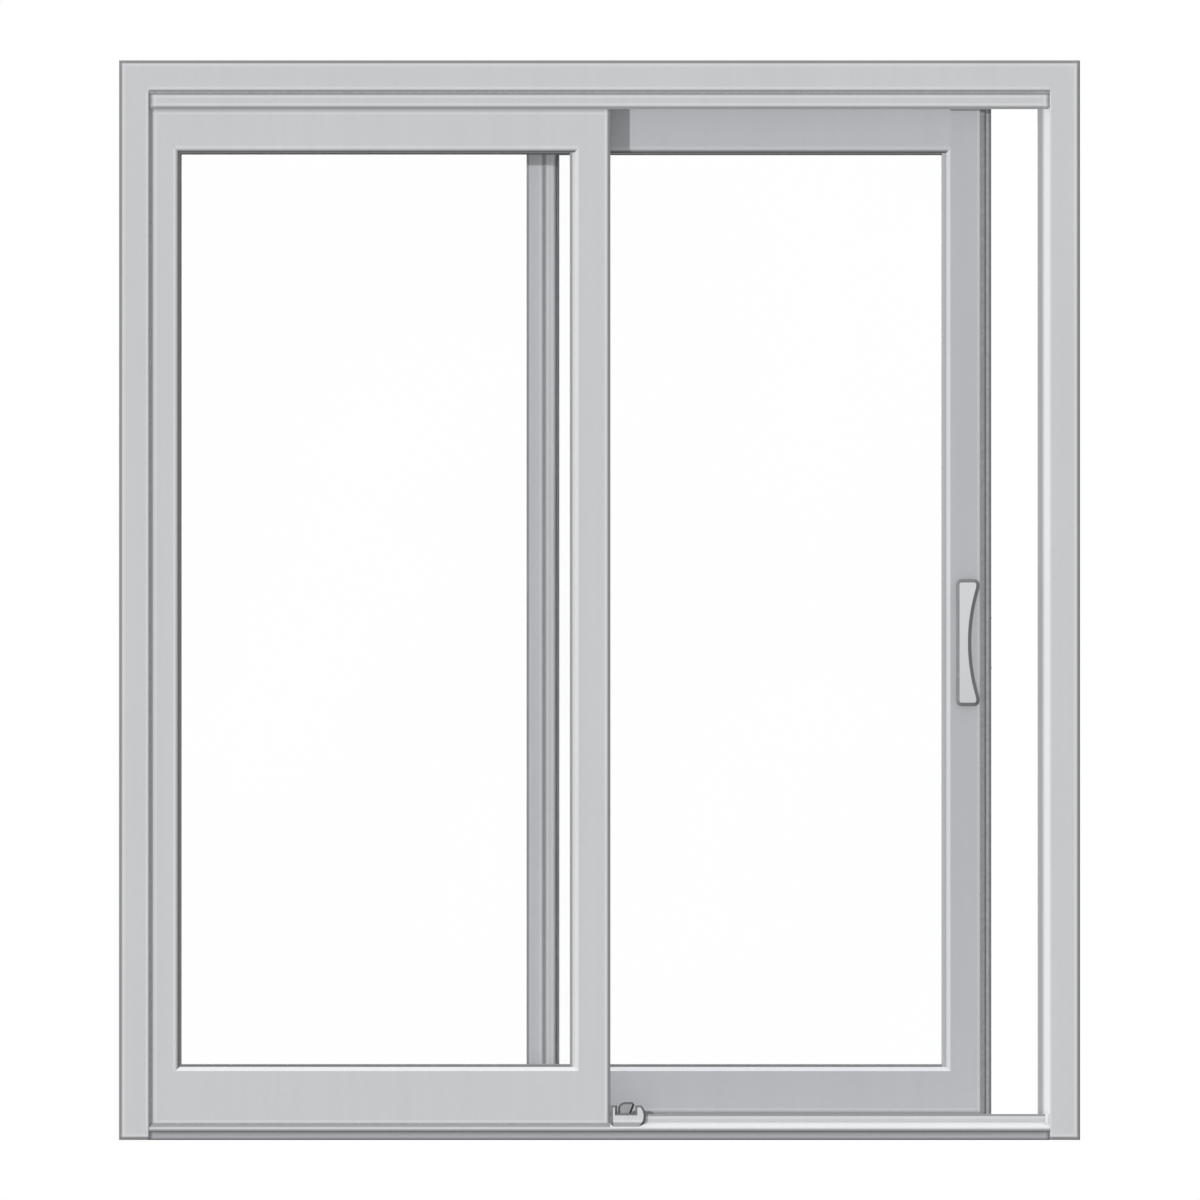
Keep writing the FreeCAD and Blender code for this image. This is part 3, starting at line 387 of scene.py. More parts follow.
def rubber(name, colour, marks=(), painted_side_light=True):
    """Dull extruded seal with painted shade in corners and, if asked, painted light and shade by facing.
    """
    shader = Shader(name)
    bloom = shader.vary(shader.noise(120.0, detail=4.0), 0.92, 1.1, start=0.35)
    tones = [bloom, shader.corner_shade(5 * MM, 0.6)]
    if painted_side_light:
        # Painted light and shade: lighter where the face turns up or to the left, towards the light,
        # darker where it turns down or right
        towards_light = shader.math("SUBTRACT", shader.towards(Z), shader.towards(X))
        tones.append(shader.spread(towards_light, -0.6, 0.6, 0.55, 1.25))
    if marks:
        tones.append(shader.lines(marks))
    return shader.principled(
        Base_Color=shader.tint(colour, shader.product(tones)),
        Roughness=shader.vary(shader.noise(50.0), 0.62, 0.8),
        Specular_IOR_Level=0.25,
        Normal=shader.bump(shader.noise(900.0), strength=0.12, distance=0.2 * MM),
    )


def pile(name, colour):
    """Woven pile strip: short fibres side by side."""
    shader = Shader(name)
    fibre = shader.grain((1800, 120, 1800), detail=2.0)
    return shader.principled(
        Base_Color=shader.tint(colour, shader.vary(fibre, 0.6, 1.25)),
        Roughness=shader.vary(fibre, 0.8, 0.95),
        Normal=shader.bump(fibre, strength=0.5, distance=0.6 * MM),
    )


def moulded(name, colour, marks=(), bevel_tone=1.0):
    """Moulded, finely spark-eroded plastic; painted shade in crevices; if asked, darker edges and
    bevels.
    """
    shader = Shader(name)
    grain = shader.noise(1500.0)
    cloud = shader.vary(shader.noise(40.0, detail=3.0), 0.96, 1.04)
    tones = [cloud, shader.corner_shade(6 * MM, 0.55)]
    if marks:
        tones.append(shader.lines(marks))
    if bevel_tone < 1:
        tones.append(shader.turned(bevel_tone))
    return shader.principled(
        Base_Color=shader.tint(colour, shader.product(tones)),
        Roughness=shader.vary(grain, 0.44, 0.58),
        Specular_IOR_Level=0.35,
        Normal=shader.bump(grain, strength=0.2, distance=0.15 * MM),
    )


def clear_glass(name):
    """Coated float glass with a trace of iron, which lets lamps and bounced light straight through."""
    shader = Shader(name)
    wave = shader.noise(1.6)
    glass = shader.node(
        "BsdfPrincipled",
        {
            "Base Color": shader.tint(GLASS_TINT, shader.vary(wave, 0.997, 1.0)),
            "Transmission Weight": 1.0,
            "Roughness": 0.0,
            "IOR": 1.2,
            "Normal": shader.bump(wave, strength=0.02, distance=0.2 * MM),
        },
    )
    path = shader.node("LightPath").outputs
    clear = shader.node("BsdfTransparent", {"Color": GLASS_PASSED}).outputs[0]
    mixed = glass.outputs[0]
    for ray in ("Is Diffuse Ray", "Is Shadow Ray"):
        mixed = shader.node("MixShader", {0: path[ray], 1: mixed, 2: clear}).outputs[0]
    return shader.surface(mixed)


# Dark lines along edges: outlines and painted shade

def edge(axis, place, core=2.2, fade=3.2, depth=0.5, span=None):
    """A mark for Shader.lines: core and fade are in mm, and span is an axis with its start and end."""
    return (axis, place, core, fade, depth, span)


def rim(axis, place):
    """The dark outline of the whole frame."""
    return edge(axis, place, core=4.0, fade=3.2, depth=0.6)


def lip(axis, place, span=None):
    """Painted shade on a glazing rebate's lip on a side away from the light, darker towards the glass.
    """
    return edge(axis, place, core=1.4, fade=6.8, depth=0.85, span=span)


# Painted shade where the panels meet the sill, the cover and the head stop, and at the interlock's step
panel_foot = edge(Z, fixed_bottom, core=0.8, fade=3.0, depth=0.3)
panel_top = edge(Z, stop_bottom, core=1.0, fade=5.0, depth=0.1)
sliding_foot = edge(Z, cover_top, core=1.0, fade=6.0, depth=0.35)
sliding_step = edge(X, step_edge, core=1.8, fade=3.4, depth=0.55)
above_sill = (Z, nose_top, stop_top)
beside_fixed_panel = (X, frame_left, fixed_edge)
daylight_height = (Z, low("fixed_bead_bottom").z, high("fixed_bead_top").z)

# Dark lines on the frame's pieces: the frame's outline, and painted shade where parts overhang or step
# past one another
FRAME_MARKS = {
    "jamb_left": [
        rim(X, frame_left),
        rim(Z, frame_top),
        rim(Z, 0.0),
        edge(X, jamb_left_inner, core=0.2, fade=2.0, depth=0.05, span=above_sill),
    ],
    "jamb_right": [rim(X, frame_right), rim(Z, frame_top), rim(Z, 0.0)],
    "head": [rim(Z, frame_top), edge(Z, stop_top, core=1.8, depth=0.4)],
    "head_stop": [
        edge(Z, stop_top, core=3.5, fade=4.5, depth=0.38),
        edge(Z, stop_bottom + 2 * MM, core=1.6, fade=3.6, depth=0.52),
        edge(X, jamb_left_inner + 2 * MM, core=1.5, fade=5.0, depth=0.42),
        edge(X, jamb_right_inner, core=2.5, fade=5.5),
    ],
    "sill_base": [
        edge(Z, nose_top, core=0.8, fade=8.0, depth=0.55),
        edge(Z, fixed_bottom - 1 * MM, core=2.0, fade=5.5, depth=0.6, span=beside_fixed_panel),
    ],
    "sill_cover": [edge(Z, cover_top, core=2.0, fade=3.0, depth=0.6)],
    "threshold": [edge(Z, high("threshold").z)],
}
# Dark lines on the panels' bars: painted shade at their feet, tops, edges and glazing lips
PANEL_MARKS = {
    "fixed_stile_left": [
        panel_foot,
        panel_top,
        edge(X, jamb_left_inner + 4 * MM, core=0.5, fade=5.5, depth=0.1),
        lip(X, fixed_daylight_left, daylight_height),
    ],
    "fixed_stile_meeting": [
        panel_foot,
        panel_top,
        edge(X, fixed_edge, core=3.8, fade=3.4, depth=0.62),
    ],
    "fixed_rail_bottom": [panel_foot],
    "fixed_rail_top": [panel_top, lip(Z, fixed_daylight_top)],
    "fixed_interlock": [],
}
SLIDING_MARKS = {
    "sliding_stile_meeting": [
        sliding_foot,
        sliding_step,
        lip(X, sliding_daylight_left, daylight_height),
    ],
    "sliding_stile_lock": [sliding_foot, edge(X, lock_edge, core=0.2, fade=1.6, depth=0.12)],
    "sliding_rail_bottom": [sliding_foot],
    "sliding_rail_top": [lip(Z, sliding_daylight_top)],
    "sliding_interlock": [
        edge(X, sliding_edge + 2 * MM, core=0.8, fade=2.4, depth=0.5),
        sliding_step,
    ],
}


# Finishes of the CAD nodes

def dress(node, material):
    """Gives a CAD node one material."""
    nodes[node].data.materials.clear()
    nodes[node].data.materials.append(material)


def dress_frame():
    """The frame with its sill, and the foot block."""
    for node, marks in FRAME_MARKS.items():
        dress(node, paint(f"frame_paint.{node}", GREY, marks))
    stop_marks = [edge(X, lock_stop_tip + 4 * MM, core=2.2, fade=8.0, depth=0.64)]
    dress("lock_stop", paint("stop_paint", LIT_STOP_GREY, stop_marks))
    nose_marks = [
        edge(Z, 0.0, core=1.5, fade=3.0, depth=0.45),
        edge(Z, nose_top, core=1.0, fade=7.0, depth=0.35),
        edge(X, jamb_left_inner, core=3.0, fade=5.0),
        edge(X, jamb_right_inner, core=3.0, fade=5.0),
    ]
    dress("sill_nose", anodised("nosing", NOSE_GREY, nose_marks))
    dress("roller_rail", brushed("rail_steel", STEEL, (4, 500, 500)))
    # Painted shade along the foot block's base
    foot_marks = [edge(Z, low("foot_block").z, core=7.0, fade=2.0, depth=0.42)]
    dress("foot_block", moulded("foot_plastic", FOOT_GREY, foot_marks, bevel_tone=0.25))
    dress("foot_knob", moulded("knob_plastic", KNOB_GREY, bevel_tone=0.35))


def dress_panels():
    """The bars, beads and sealed glass of both panels."""
    for node, marks in PANEL_MARKS.items():
        dress(node, paint(f"panel_paint.{node}", GREY, marks, slopes=PANEL_SLOPES))
    for node, marks in SLIDING_MARKS.items():
        name = f"sliding_paint.{node}"
        finish = paint(name, SHADED_SLIDING_GREY, marks, slopes=SLIDING_SLOPES, corner=SLIDING_CORNER)
        dress(node, finish)
    glass = clear_glass("float_glass")
    spacer = mill_spacer("spacer_bar")
    for panel, colour in (("fixed", GREY), ("sliding", SHADED_SLIDING_GREY)):
        bead_paint = paint(f"{panel}_bead_paint", colour)
        for side in ("left", "right", "top", "bottom"):
            dress(f"{panel}_bead_{side}", bead_paint)
        dress(f"{panel}_pane_outer", glass)
        dress(f"{panel}_pane_inner", glass)
        dress(f"{panel}_spacer", spacer)


def dress_hardware():
    """The lock with its edge strip, the handles and the rollers."""
    lock_steel = brushed("lock_steel", STEEL, (500, 500, 12))
    dress("lock_faceplate", lock_steel)
    dress("strike_plate", lock_steel)
    strip_step = edge_tip - 12.5 * MM
    # Painted shade beside the edge strip's step, and a dark line at its tip
    strip_marks = [
        edge(X, strip_step - 2 * MM, core=0.8, fade=4.5, depth=0.22),
        edge(X, edge_tip, core=3.6, fade=3.0, depth=0.42),
    ]
    dress("lock_edge_strip", rubber("edge_seal", STRIP_GREY, strip_marks))
    handle_paint = paint("handle_paint", HANDLE_GREY, bevel_tone=0.4, top_light_gain=1.0, slopes=HANDLE_SLOPES)
    dress("handle_exterior", handle_paint)
    dress("handle_interior", handle_paint)
    dress("thumb_turn", paint("turn_paint", HANDLE_GREY))
    dress("roller_wheels", moulded("roller_nylon", NYLON))
    dress("roller_housings", brushed("zinc_plate", STEEL, (300, 300, 300)))


# Mesh building

SHARP = math.radians(35)


def add_piece(name, meshes, material, body):
    """One piece made of several closed meshes, each given as its points and faces, riding on a body."""
    points, faces = [], []
    for some_points, some_faces in meshes:
        start = len(points)
        points += [tuple(point) for point in some_points]
        faces += [tuple(start + corner for corner in face) for face in some_faces]
    mesh = bpy.data.meshes.new(name)
    mesh.from_pydata(points, [], faces)
    mesh.validate()
    for polygon in mesh.polygons:
        polygon.use_smooth = True
    mesh.set_sharp_from_angle(angle=SHARP)
    mesh.materials.append(material)
    piece = bpy.data.objects.new(name, mesh)
    bpy.context.scene.collection.objects.link(piece)
    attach(piece, body)


def loft(rows):
    """A closed mesh through rows of points: each row is a closed loop, and the ends are capped."""
    count = len(rows[0])
    points = [point for row in rows for point in row]
    faces = []
    for row in range(len(rows) - 1):
        start = row * count
        following = start + count
        for corner in range(count):
            beside = (corner + 1) % count
            faces.append((start + corner, start + beside, following + beside, following + corner))
    faces.append(tuple(reversed(range(count))))
    faces.append(tuple(range(len(points) - count, len(points))))
    return points, faces


def upright_strip(bottom, top, profile):
    """A strip with one section in plan, given as (x, y) pairs."""
    return loft([[(x, y, z) for x, y in profile] for z in (bottom, top)])


def level_strip(left, right, profile):
    """A strip with one upright section, given as (y, z) pairs."""
    return loft([[(x, y, z) for y, z in profile] for x in (left, right)])


def quarter_bead(corner_a, corner_b, reach_a, reach_b, steps=5):
    """Section of a bead that fills a corner: the corner, then a quarter ellipse from side to side."""
    points = [(corner_a, corner_b)]
    for step in range(steps + 1):
        turn = math.pi / 2 * step / steps
        points.append((corner_a + reach_a * math.cos(turn), corner_b + reach_b * math.sin(turn)))
    return points


def half_bulb(centre, face, radius, out, steps=8):
    """Section of a bulb seal on a face: a half circle that stands out from it."""
    points = []
    for step in range(steps + 1):
        turn = math.pi * step / steps
        points.append((face + out * radius * math.sin(turn), centre + radius * math.cos(turn)))
    return points


# Seals

SEAL_WIDTH = 3.3 * MM
SEAL_WIDTH_BOTTOM = 5.0 * MM
SEAL_RISE = 3.0 * MM
SEAL_TUCK = 0.4 * MM
STRIP_WIDTH = 8.5 * MM

# Sections of the gasket and of the painted strip, as shares of their width and rise
GASKET_SECTION = ((0.0, 0.0), (0.0, 0.9), (0.3, 1.0), (0.62, 0.8), (0.9, 0.42), (1.0, 0.15), (1.0, 0.0))
STRIP_SECTION = ((0.0, 0.0), (0.0, 1.0), (0.72, 1.0), (0.88, 0.86), (0.97, 0.5), (1.0, 0.0))

# Reaches of the corner beads along the two axes of their sections
JAMB_BEAD = (4.0 * MM, -4.0 * MM)
HEAD_BEAD = (-3.6 * MM, -5.0 * MM)
SILL_BEAD = (-2.6 * MM, 2.8 * MM)

BULB_RADIUS = 4.5 * MM
BULB_OFFSET = 5 * MM
PILE_WIDTH = 3 * MM
PILE_HEIGHT = 3.5 * MM
PILE_TAPER = 0.8 * MM


def tucked(reach, share):
    """Distance from a lip to a point of a seal that tucks under it and reaches this far past it."""
    tuck = math.copysign(SEAL_TUCK, reach) if reach else 0.0
    return share * (reach + tuck) - tuck


def gasket(left, right, bottom, top, pane, out):
    """A wedge gasket along the bottom, left and top of a pane, mitred at its two corners."""
    corners = (
        (right, bottom, 0.0, SEAL_WIDTH_BOTTOM),
        (left, bottom, SEAL_WIDTH, SEAL_WIDTH_BOTTOM),
        (left, top, SEAL_WIDTH, -SEAL_WIDTH),
        (right, top, 0.0, -SEAL_WIDTH),
    )
    rows = []
    for corner_x, corner_z, reach_x, reach_z in corners:
        row = []
        for share, rise in GASKET_SECTION:
            x = corner_x + tucked(reach_x, share)
            z = corner_z + tucked(reach_z, share)
            row.append((x, pane + out * rise * SEAL_RISE, z))
        rows.append(row)
    return loft(rows)


def glazing_strip(right, bottom, top, pane, out):
    """The wider painted strip along the right of a pane."""
    section = []
    for share, rise in STRIP_SECTION:
        section.append((right + tucked(-STRIP_WIDTH, share), pane + out * rise * SEAL_RISE))
    return upright_strip(bottom - SEAL_TUCK, top + SEAL_TUCK, section)


def panel_seals(panel, body, rubber_seal, strip_paint):
    """Gaskets and strips round both sides of a panel's glass."""
    left = high(f"{panel}_bead_left").x
    right = low(f"{panel}_bead_right").x
    bottom = high(f"{panel}_bead_bottom").z
    top = low(f"{panel}_bead_top").z
    outside_pane = low(f"{panel}_pane_outer").y
    inside_pane = high(f"{panel}_pane_inner").y
    for side, pane, out in (("outer", outside_pane, -1), ("inner", inside_pane, 1)):
        wedge = gasket(left, right - STRIP_WIDTH, bottom, top, pane, out)
        add_piece(f"{panel}_gasket_{side}", [wedge], rubber_seal, body)
        strip = glazing_strip(right, bottom, top, pane, out)
        add_piece(f"{panel}_strip_{side}", [strip], strip_paint, body)


def glazing_seals(rubber_seal):
    """The seals of both panels, with each panel's strips in its own paint."""
    strip_edge = low("fixed_bead_right").x - STRIP_WIDTH
    strip_marks = [edge(X, strip_edge, core=4.2, fade=1.6, depth=0.5)]
    fixed_paint = paint("fixed_strip_paint", GREY, strip_marks)
    panel_seals("fixed", "frame", rubber_seal, fixed_paint)
    sliding_paint = paint("sliding_strip_paint", STRIP_PAINT_GREY)
    panel_seals("sliding", "sliding_panel", rubber_seal, sliding_paint)


def frame_seals():
    """Beads in the corners between the frame and the fixed panel, and under the head's face."""
    pale = rubber("frame_rubber", FRAME_SEAL_GREY, painted_side_light=False)
    middling = rubber("head_rubber", HEAD_SEAL_GREY, painted_side_light=False)
    dark = rubber("sill_rubber", SILL_SEAL_GREY)
    section = quarter_bead(jamb_left_inner, fixed_face, *JAMB_BEAD)
    bead = upright_strip(fixed_bottom, stop_bottom, section)
    add_piece("jamb_bead", [bead], pale, "frame")
    section = quarter_bead(stop_face, stop_top, *HEAD_BEAD)
    bead = level_strip(jamb_left_inner, jamb_right_inner, section)
    add_piece("head_bead", [bead], middling, "frame")
    section = quarter_bead(fixed_face, fixed_bottom, *SILL_BEAD)
    bead = level_strip(jamb_left_inner, fixed_edge, section)
    add_piece("sill_bead", [bead], dark, "frame")


def lock_jamb_seal(rubber_seal):
    """Bulb seal that the lock edge of the sliding panel closes against."""
    centre = high("strike_plate").y + BULB_OFFSET
    bulb = half_bulb(centre, jamb_right_inner, BULB_RADIUS, out=-1)
    strip = upright_strip(high("threshold").z, low("head").z, bulb)
    add_piece("lock_jamb_seal", [strip], rubber_seal, "frame")


def meeting_pile():
    """Pile strip on the fixed interlock's back, where the sliding panel brushes past."""
    root = high("fixed_interlock").y
    tip = root + PILE_HEIGHT
    left = low("fixed_interlock").x
    right = left + PILE_WIDTH
    section = [(left, root), (right, root), (right - PILE_TAPER, tip), (left + PILE_TAPER, tip)]
    brush = upright_strip(low("fixed_interlock").z, high("fixed_interlock").z, section)
    add_piece("meeting_pile", [brush], pile("pile_grey", PILE_GREY), "frame")


# Screws, caps, plugs and the lock's hook

# A domed head: its facets, its rim's depth as a share of its rise, and its cross as shares of its radius
HEAD_RINGS = 9
HEAD_SEGMENTS = 40
RIM_DEPTH = 0.6
CROSS_HALF_WIDTH = 0.13
CROSS_REACH = 0.6

# The recess is a share of the head's rise
PLATE_SCREW = {"radius": 3.6 * MM, "rise": 1.0 * MM, "recess": 0.7}
HANDLE_SCREW = {"radius": 4.2 * MM, "rise": 1.4 * MM, "recess": 0.6}
JAMB_CAP = {"radius": 7.6 * MM, "rise": 1.6 * MM, "recess": 0.0}

# Screws lie this far in from the ends of what they hold, and the handle's a little off its middle
FACEPLATE_INSET = 14 * MM
STRIKE_INSET = 16 * MM
HANDLE_INSET = 17 * MM
HANDLE_SHIFT = 2 * MM

# How far behind the panel the line starts that finds the handle's surface
PROBE_START = 0.3

CAP_SINK = 1.2 * MM
JAMB_SCREW_PITCH = 550 * MM
JAMB_SCREW_STEPS = (-1.5, -0.5, 0.5, 1.5)

PLUG_CLEARANCE = 0.2 * MM
PLUG_DEPTH = 24 * MM
PLUG_SINK = 0.6 * MM
TRACK_HALF_WIDTH = 25 * MM

HOOK_STEPS = 12
HOOK_SINK = 0.8 * MM
HOOK_BULGE = 1.2 * MM
HOOK_HALF_WIDTH = 2.2 * MM
HOOK_HALF_HEIGHT = 20 * MM


def dome_lift(share, turn, recess):
    """Height of a head's dome as a share of its rise, lower in the arms of its cross."""
    reach_a = abs(share * math.cos(turn))
    reach_b = abs(share * math.sin(turn))
    in_cross = min(reach_a, reach_b) < CROSS_HALF_WIDTH and max(reach_a, reach_b) < CROSS_REACH
    lift = 1 - share * share
    return lift - recess if in_cross else lift


def domed_head(centre, out, radius, rise, recess):
    """A screw head or cap: a low dome on a short rim, with a cross when recess is above zero."""
    out = Vector(out).normalized()
    side = out.orthogonal().normalized()
    up = out.cross(side)
    turns = [2 * math.pi * segment / HEAD_SEGMENTS for segment in range(HEAD_SEGMENTS)]
    rings = [(1.0, [-RIM_DEPTH] * HEAD_SEGMENTS), (1.0, [0.0] * HEAD_SEGMENTS)]
    for ring in range(1, HEAD_RINGS):
        share = 1 - ring / HEAD_RINGS
        rings.append((share, [dome_lift(share, turn, recess) for turn in turns]))
    loops = []
    for share, lifts in rings:
        loop = []
        for turn, lift in zip(turns, lifts):
            flat = side * math.cos(turn) + up * math.sin(turn)
            loop.append(Vector(centre) + flat * (share * radius) + out * (lift * rise))
        loops.append(loop)
    return loft(loops)


def surface_point(node, start, towards):
    """Where a line from start first meets a CAD node, and the surface's normal there."""
    tree = BVHTree.FromObject(nodes[node], bpy.context.evaluated_depsgraph_get())
    place, normal, _, _ = tree.ray_cast(Vector(start), Vector(towards))
    return place, normal


def plate_screws(plate, face, out, inset):
    """Heads of the two screws in a lock plate, this far in from its ends."""
    middle_y = middle("lock_faceplate", Y)
    heads = []
    for height in (low(plate).z + inset, high(plate).z - inset):
        heads.append(domed_head((face, middle_y, height), (out, 0, 0), **PLATE_SCREW))
    return heads


def handle_screws():
    """Heads of the two screws in the inner handle, square to its curved face."""
    across = middle("handle_interior", X) - HANDLE_SHIFT
    behind = sliding_back + PROBE_START
    heads = []
    for height in (low("handle_interior").z + HANDLE_INSET, high("handle_interior").z - HANDLE_INSET):
        place, normal = surface_point("handle_interior", (across, behind, height), (0, -1, 0))
        heads.append(domed_head(place, normal, **HANDLE_SCREW))
    return heads


def screws():
    """Screws of the lock's faceplate, the strike plate and the inner handle."""
    steel = brushed("screw_steel", STEEL, (400, 400, 400))
    heads = plate_screws("lock_faceplate", high("lock_faceplate").x, 1, FACEPLATE_INSET)
    add_piece("faceplate_screws", heads, steel, "sliding_panel")
    heads = plate_screws("strike_plate", low("strike_plate").x, -1, STRIKE_INSET)
    add_piece("strike_screws", heads, steel, "frame")
    add_piece("handle_screws", handle_screws(), steel, "sliding_panel")


def jamb_caps():
    """Snap-in covers over the installation screws."""
    plastic = moulded("cap_plastic", GREY)
    middle_y = middle("strike_plate", Y)
    middle_z = frame_top / 2
    for side, face, out in (("left", pocket_floor, 1), ("right", jamb_right_inner, -1)):
        caps = []
        for step in JAMB_SCREW_STEPS:
            place = (face - out * CAP_SINK, middle_y, middle_z + JAMB_SCREW_PITCH * step)
            caps.append(domed_head(place, (out, 0, 0), **JAMB_CAP))
        add_piece(f"jamb_caps_{side}", caps, plastic, "frame")


def pocket_plugs():
    """Plugs that close the left jamb's two pockets at the top."""
    finish = paint("plug_paint", GREY)
    left = pocket_floor + PLUG_CLEARANCE
    right = jamb_left_inner - PLUG_CLEARANCE
    track_middle = middle("sliding_stile_lock", Y)
    fixed_pocket = (fixed_face, high("fixed_stile_left").y)
    track_pocket = (track_middle - TRACK_HALF_WIDTH, track_middle + TRACK_HALF_WIDTH)
    plugs = []
    for pocket_front, pocket_back in (fixed_pocket, track_pocket):
        front = pocket_front + PLUG_CLEARANCE
        back = pocket_back - PLUG_CLEARANCE
        outline = [(left, front), (right, front), (right, back), (left, back)]
        plugs.append(upright_strip(frame_top - PLUG_DEPTH, frame_top - PLUG_SINK, outline))
    add_piece("pocket_plugs", plugs, finish, "frame")


def lock_hook():
    """Hook bolt, drawn back in the faceplate's slot."""
    steel = brushed("hook_steel", STEEL, (300, 300, 300))
    middle_y = middle("lock_faceplate", Y)
    middle_z = middle("lock_faceplate", Z)
    nose = high("lock_faceplate").x - HOOK_SINK
    outline = []
    for step in range(HOOK_STEPS + 1):
        turn = math.pi * step / HOOK_STEPS
        x = nose - HOOK_BULGE + HOOK_BULGE * math.sin(turn)
        z = middle_z + HOOK_HALF_HEIGHT * math.cos(turn)
        outline.append((x, z))
    rows = []
    for y in (middle_y - HOOK_HALF_WIDTH, middle_y + HOOK_HALF_WIDTH):
        rows.append([(x, y, z) for x, z in outline])
    add_piece("lock_hook", [loft(rows)], steel, "sliding_panel")


# Stage

FLOOR_RADIUS = 9.0
FLOOR_SIDES = 64
FLOOR_FADE = (2.0, 7.5)
AMBIENT = 0.42

# The way the key light travels, and the nodes that cast no shadow from it
KEY_WAY = (0.685, 1.0, -0.43)
SHADELESS = [
    "fixed_stile_meeting",
    "fixed_interlock",
    "head_stop",
    "sliding_interlock",
    "sliding_stile_lock",
    "handle_exterior",
]


def floor():
    """Pale floor that fades out into the white round it."""
    corners = []
    for corner in range(FLOOR_SIDES):
        turn = 2 * math.pi / FLOOR_SIDES * corner
        corners.append((FLOOR_RADIUS * math.cos(turn), FLOOR_RADIUS * math.sin(turn), 0))
    mesh = bpy.data.meshes.new("floor")
    mesh.from_pydata(corners, [], [tuple(range(FLOOR_SIDES))])
    shader = Shader("floor_pale")
    distance = shader.node("VectorMath", {0: shader.place}, operation="LENGTH").outputs["Value"]
    grain = shader.vary(shader.noise(6.0, detail=4.0), 0.98, 1.02)
    pale = shader.node("BsdfDiffuse", {"Color": shader.tint(FLOOR_GREY, grain)})
    gone = shader.node("BsdfTransparent")
    away = shader.spread(distance, *FLOOR_FADE, 0.0, 1.0, smooth=True)
    mixed = shader.node("MixShader", {0: away, 1: pale.outputs[0], 2: gone.outputs[0]})
    mesh.materials.append(shader.surface(mixed.outputs[0]))
    ground = bpy.data.objects.new("floor", mesh)
    bpy.context.scene.collection.objects.link(ground)
    ground.visible_diffuse = False


def world():
    """White for the camera, also through glass or in gloss, and a softer fill after matt surfaces."""
    made = bpy.data.worlds.new("white_studio")
    made.use_nodes = True
    tree = made.node_tree
    tree.nodes.clear()
    path = tree.nodes.new("ShaderNodeLightPath")
    strength = tree.nodes.new("ShaderNodeMapRange")
    strength.inputs["To Min"].default_value = 1.0
    strength.inputs["To Max"].default_value = AMBIENT
    tree.links.new(path.outputs["Diffuse Depth"], strength.inputs["Value"])
    sky = tree.nodes.new("ShaderNodeBackground")
    sky.inputs["Color"].default_value = (1, 1, 1, 1)
    tree.links.new(strength.outputs["Result"], sky.inputs["Strength"])
    out = tree.nodes.new("ShaderNodeOutputWorld")
    tree.links.new(sky.outputs[0], out.inputs["Surface"])
    made.cycles.sampling_method = "NONE"
    bpy.context.scene.world = made


def sun(name, towards, strength, spread, shadows=True):
    """A far lamp whose light travels this way; spread is the angle it fills, in degrees."""
    lamp = bpy.data.lights.new(name, "SUN")
    lamp.energy = strength
    lamp.angle = math.radians(spread)
    lamp.use_shadow = shadows
    lamp.cycles.use_multiple_importance_sampling = False
    placed = bpy.data.objects.new(name, lamp)
    placed.rotation_mode = "QUATERNION"
    placed.rotation_quaternion = Vector(towards).to_track_quat("-Z", "Y")
    bpy.context.scene.collection.objects.link(placed)
    return placed


def linked_nodes(name, members, state):
    """A set of CAD nodes that a lamp takes in or leaves out."""
    group = bpy.data.collections.new(name)
    for member in members:
        group.objects.link(nodes[member])
    for item in group.collection_objects:
        item.light_linking.link_state = state
    return group


def link_lamp(lamp, lit, shading, state):
    """A lamp that takes in, or leaves out, these nodes to light and these to cast its shadows."""
    lamp.light_linking.receiver_collection = linked_nodes(f"{lamp.name}_lit", lit, state)
    lamp.light_linking.blocker_collection = linked_nodes(f"{lamp.name}_shading", shading, state)


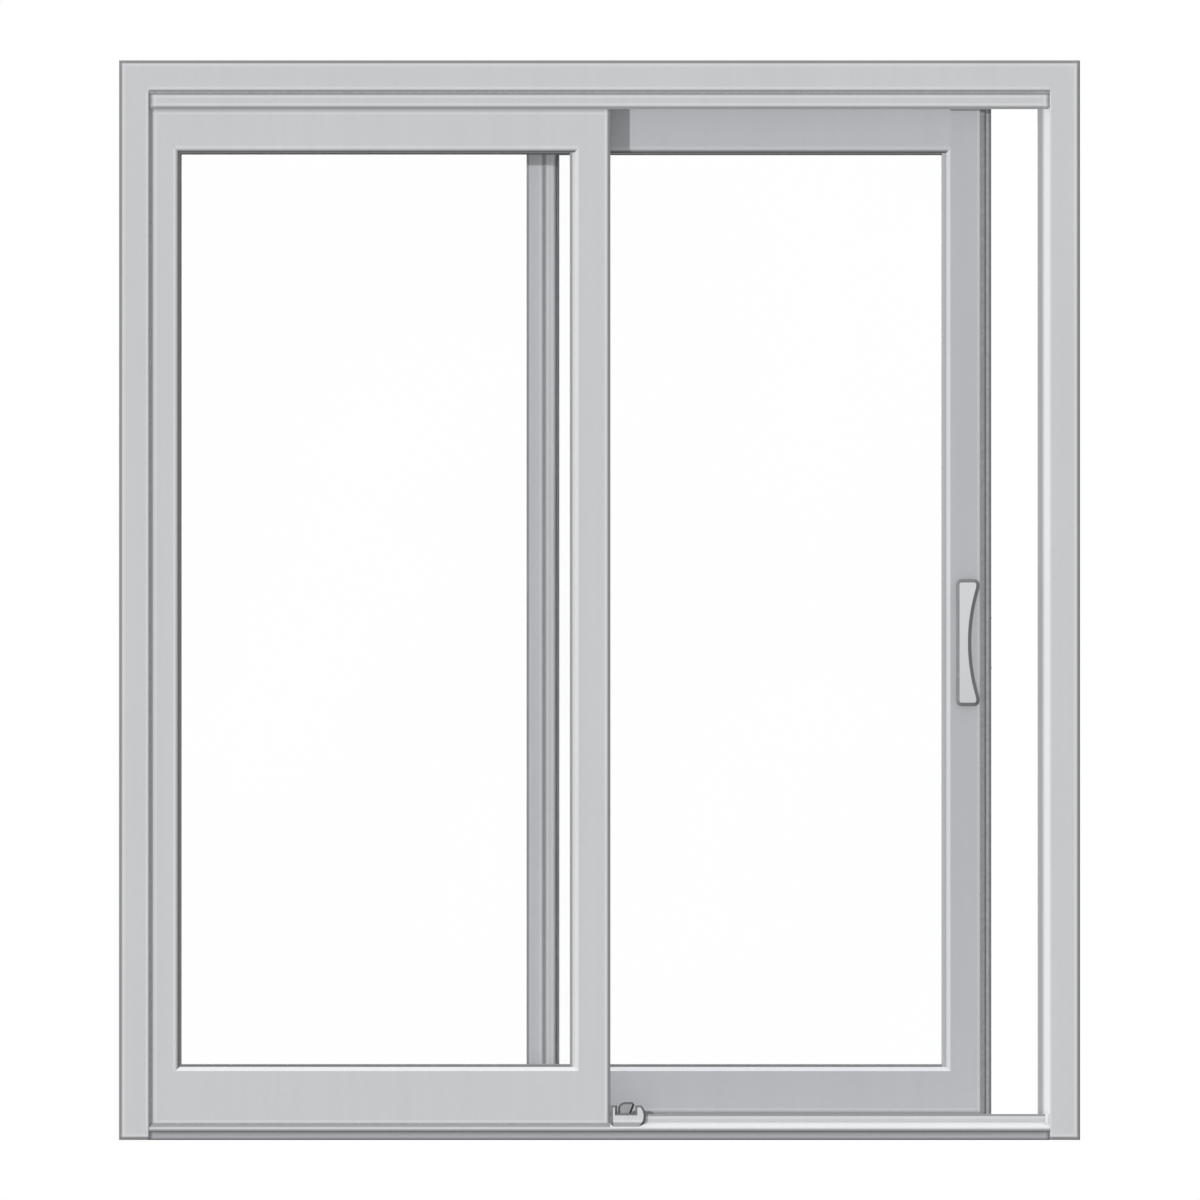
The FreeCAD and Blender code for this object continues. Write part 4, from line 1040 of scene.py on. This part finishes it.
def light():
    """Key from the upper left in front, soft lamps at the left and above, and a fill behind.

    As in the drawing, the fixed panel's stile shades the top rail behind it but not the bottom
    rail, and the pull handle casts no shadow.
    """
    key = sun("key", KEY_WAY, strength=2.0, spread=1.5)
    link_lamp(key, ["sliding_rail_top"], SHADELESS, "EXCLUDE")
    top_key = sun("top_rail_key", KEY_WAY, strength=2.2, spread=1.5)
    link_lamp(top_key, ["sliding_rail_top"], ["fixed_stile_meeting", "fixed_interlock"], "INCLUDE")
    sun("left_soft", (0.86, 0.48, 0.0), strength=0.9, spread=30, shadows=False)
    sun("top_soft", (0.0, 0.48, -0.86), strength=0.6, spread=30, shadows=False)
    sun("rear_fill", (-0.5, -1.0, -0.6), strength=1.5, spread=20)


# The photograph's frame: 1200 pixels square, where the door's frame is 1080 pixels tall

IMAGE_PIXELS = 1200
FRAME_PIXELS = 1080
FRAME_MIDDLE_PIXEL = 599.5
FRAME_BOTTOM_PIXEL = 1140
LENS = 1400
SENSOR = 36
EYE_HEIGHT = 1 * MM
CLIP_START = 1.0


def camera():
    """A very long lens at floor level, square to the door, framed as the photograph is."""
    pixel = (cad_high.z - cad_low.z) / FRAME_PIXELS
    centre = IMAGE_PIXELS / 2
    aim_x = (centre - FRAME_MIDDLE_PIXEL) * pixel
    aim_z = (FRAME_BOTTOM_PIXEL - centre) * pixel
    aim = Vector((aim_x, frame_face, aim_z))
    distance = IMAGE_PIXELS * pixel * LENS / SENSOR
    eye = Vector((aim.x, frame_face - distance, EYE_HEIGHT))
    lens = bpy.data.cameras.new("camera")
    lens.lens = LENS
    lens.sensor_width = SENSOR
    lens.clip_start = CLIP_START
    lens.clip_end = 2 * distance
    placed = bpy.data.objects.new("camera", lens)
    placed.location = eye
    placed.rotation_mode = "QUATERNION"
    placed.rotation_quaternion = (aim - eye).to_track_quat("-Z", "Y")
    bpy.context.scene.collection.objects.link(placed)
    bpy.context.scene.camera = placed
    bpy.context.scene.view_settings.view_transform = "Standard"


dress_frame()
dress_panels()
dress_hardware()
seal = rubber("glazing_rubber", SEAL_GREY)
glazing_seals(seal)
frame_seals()
lock_jamb_seal(seal)
meeting_pile()
screws()
jamb_caps()
pocket_plugs()
lock_hook()
floor()
world()
light()
camera()
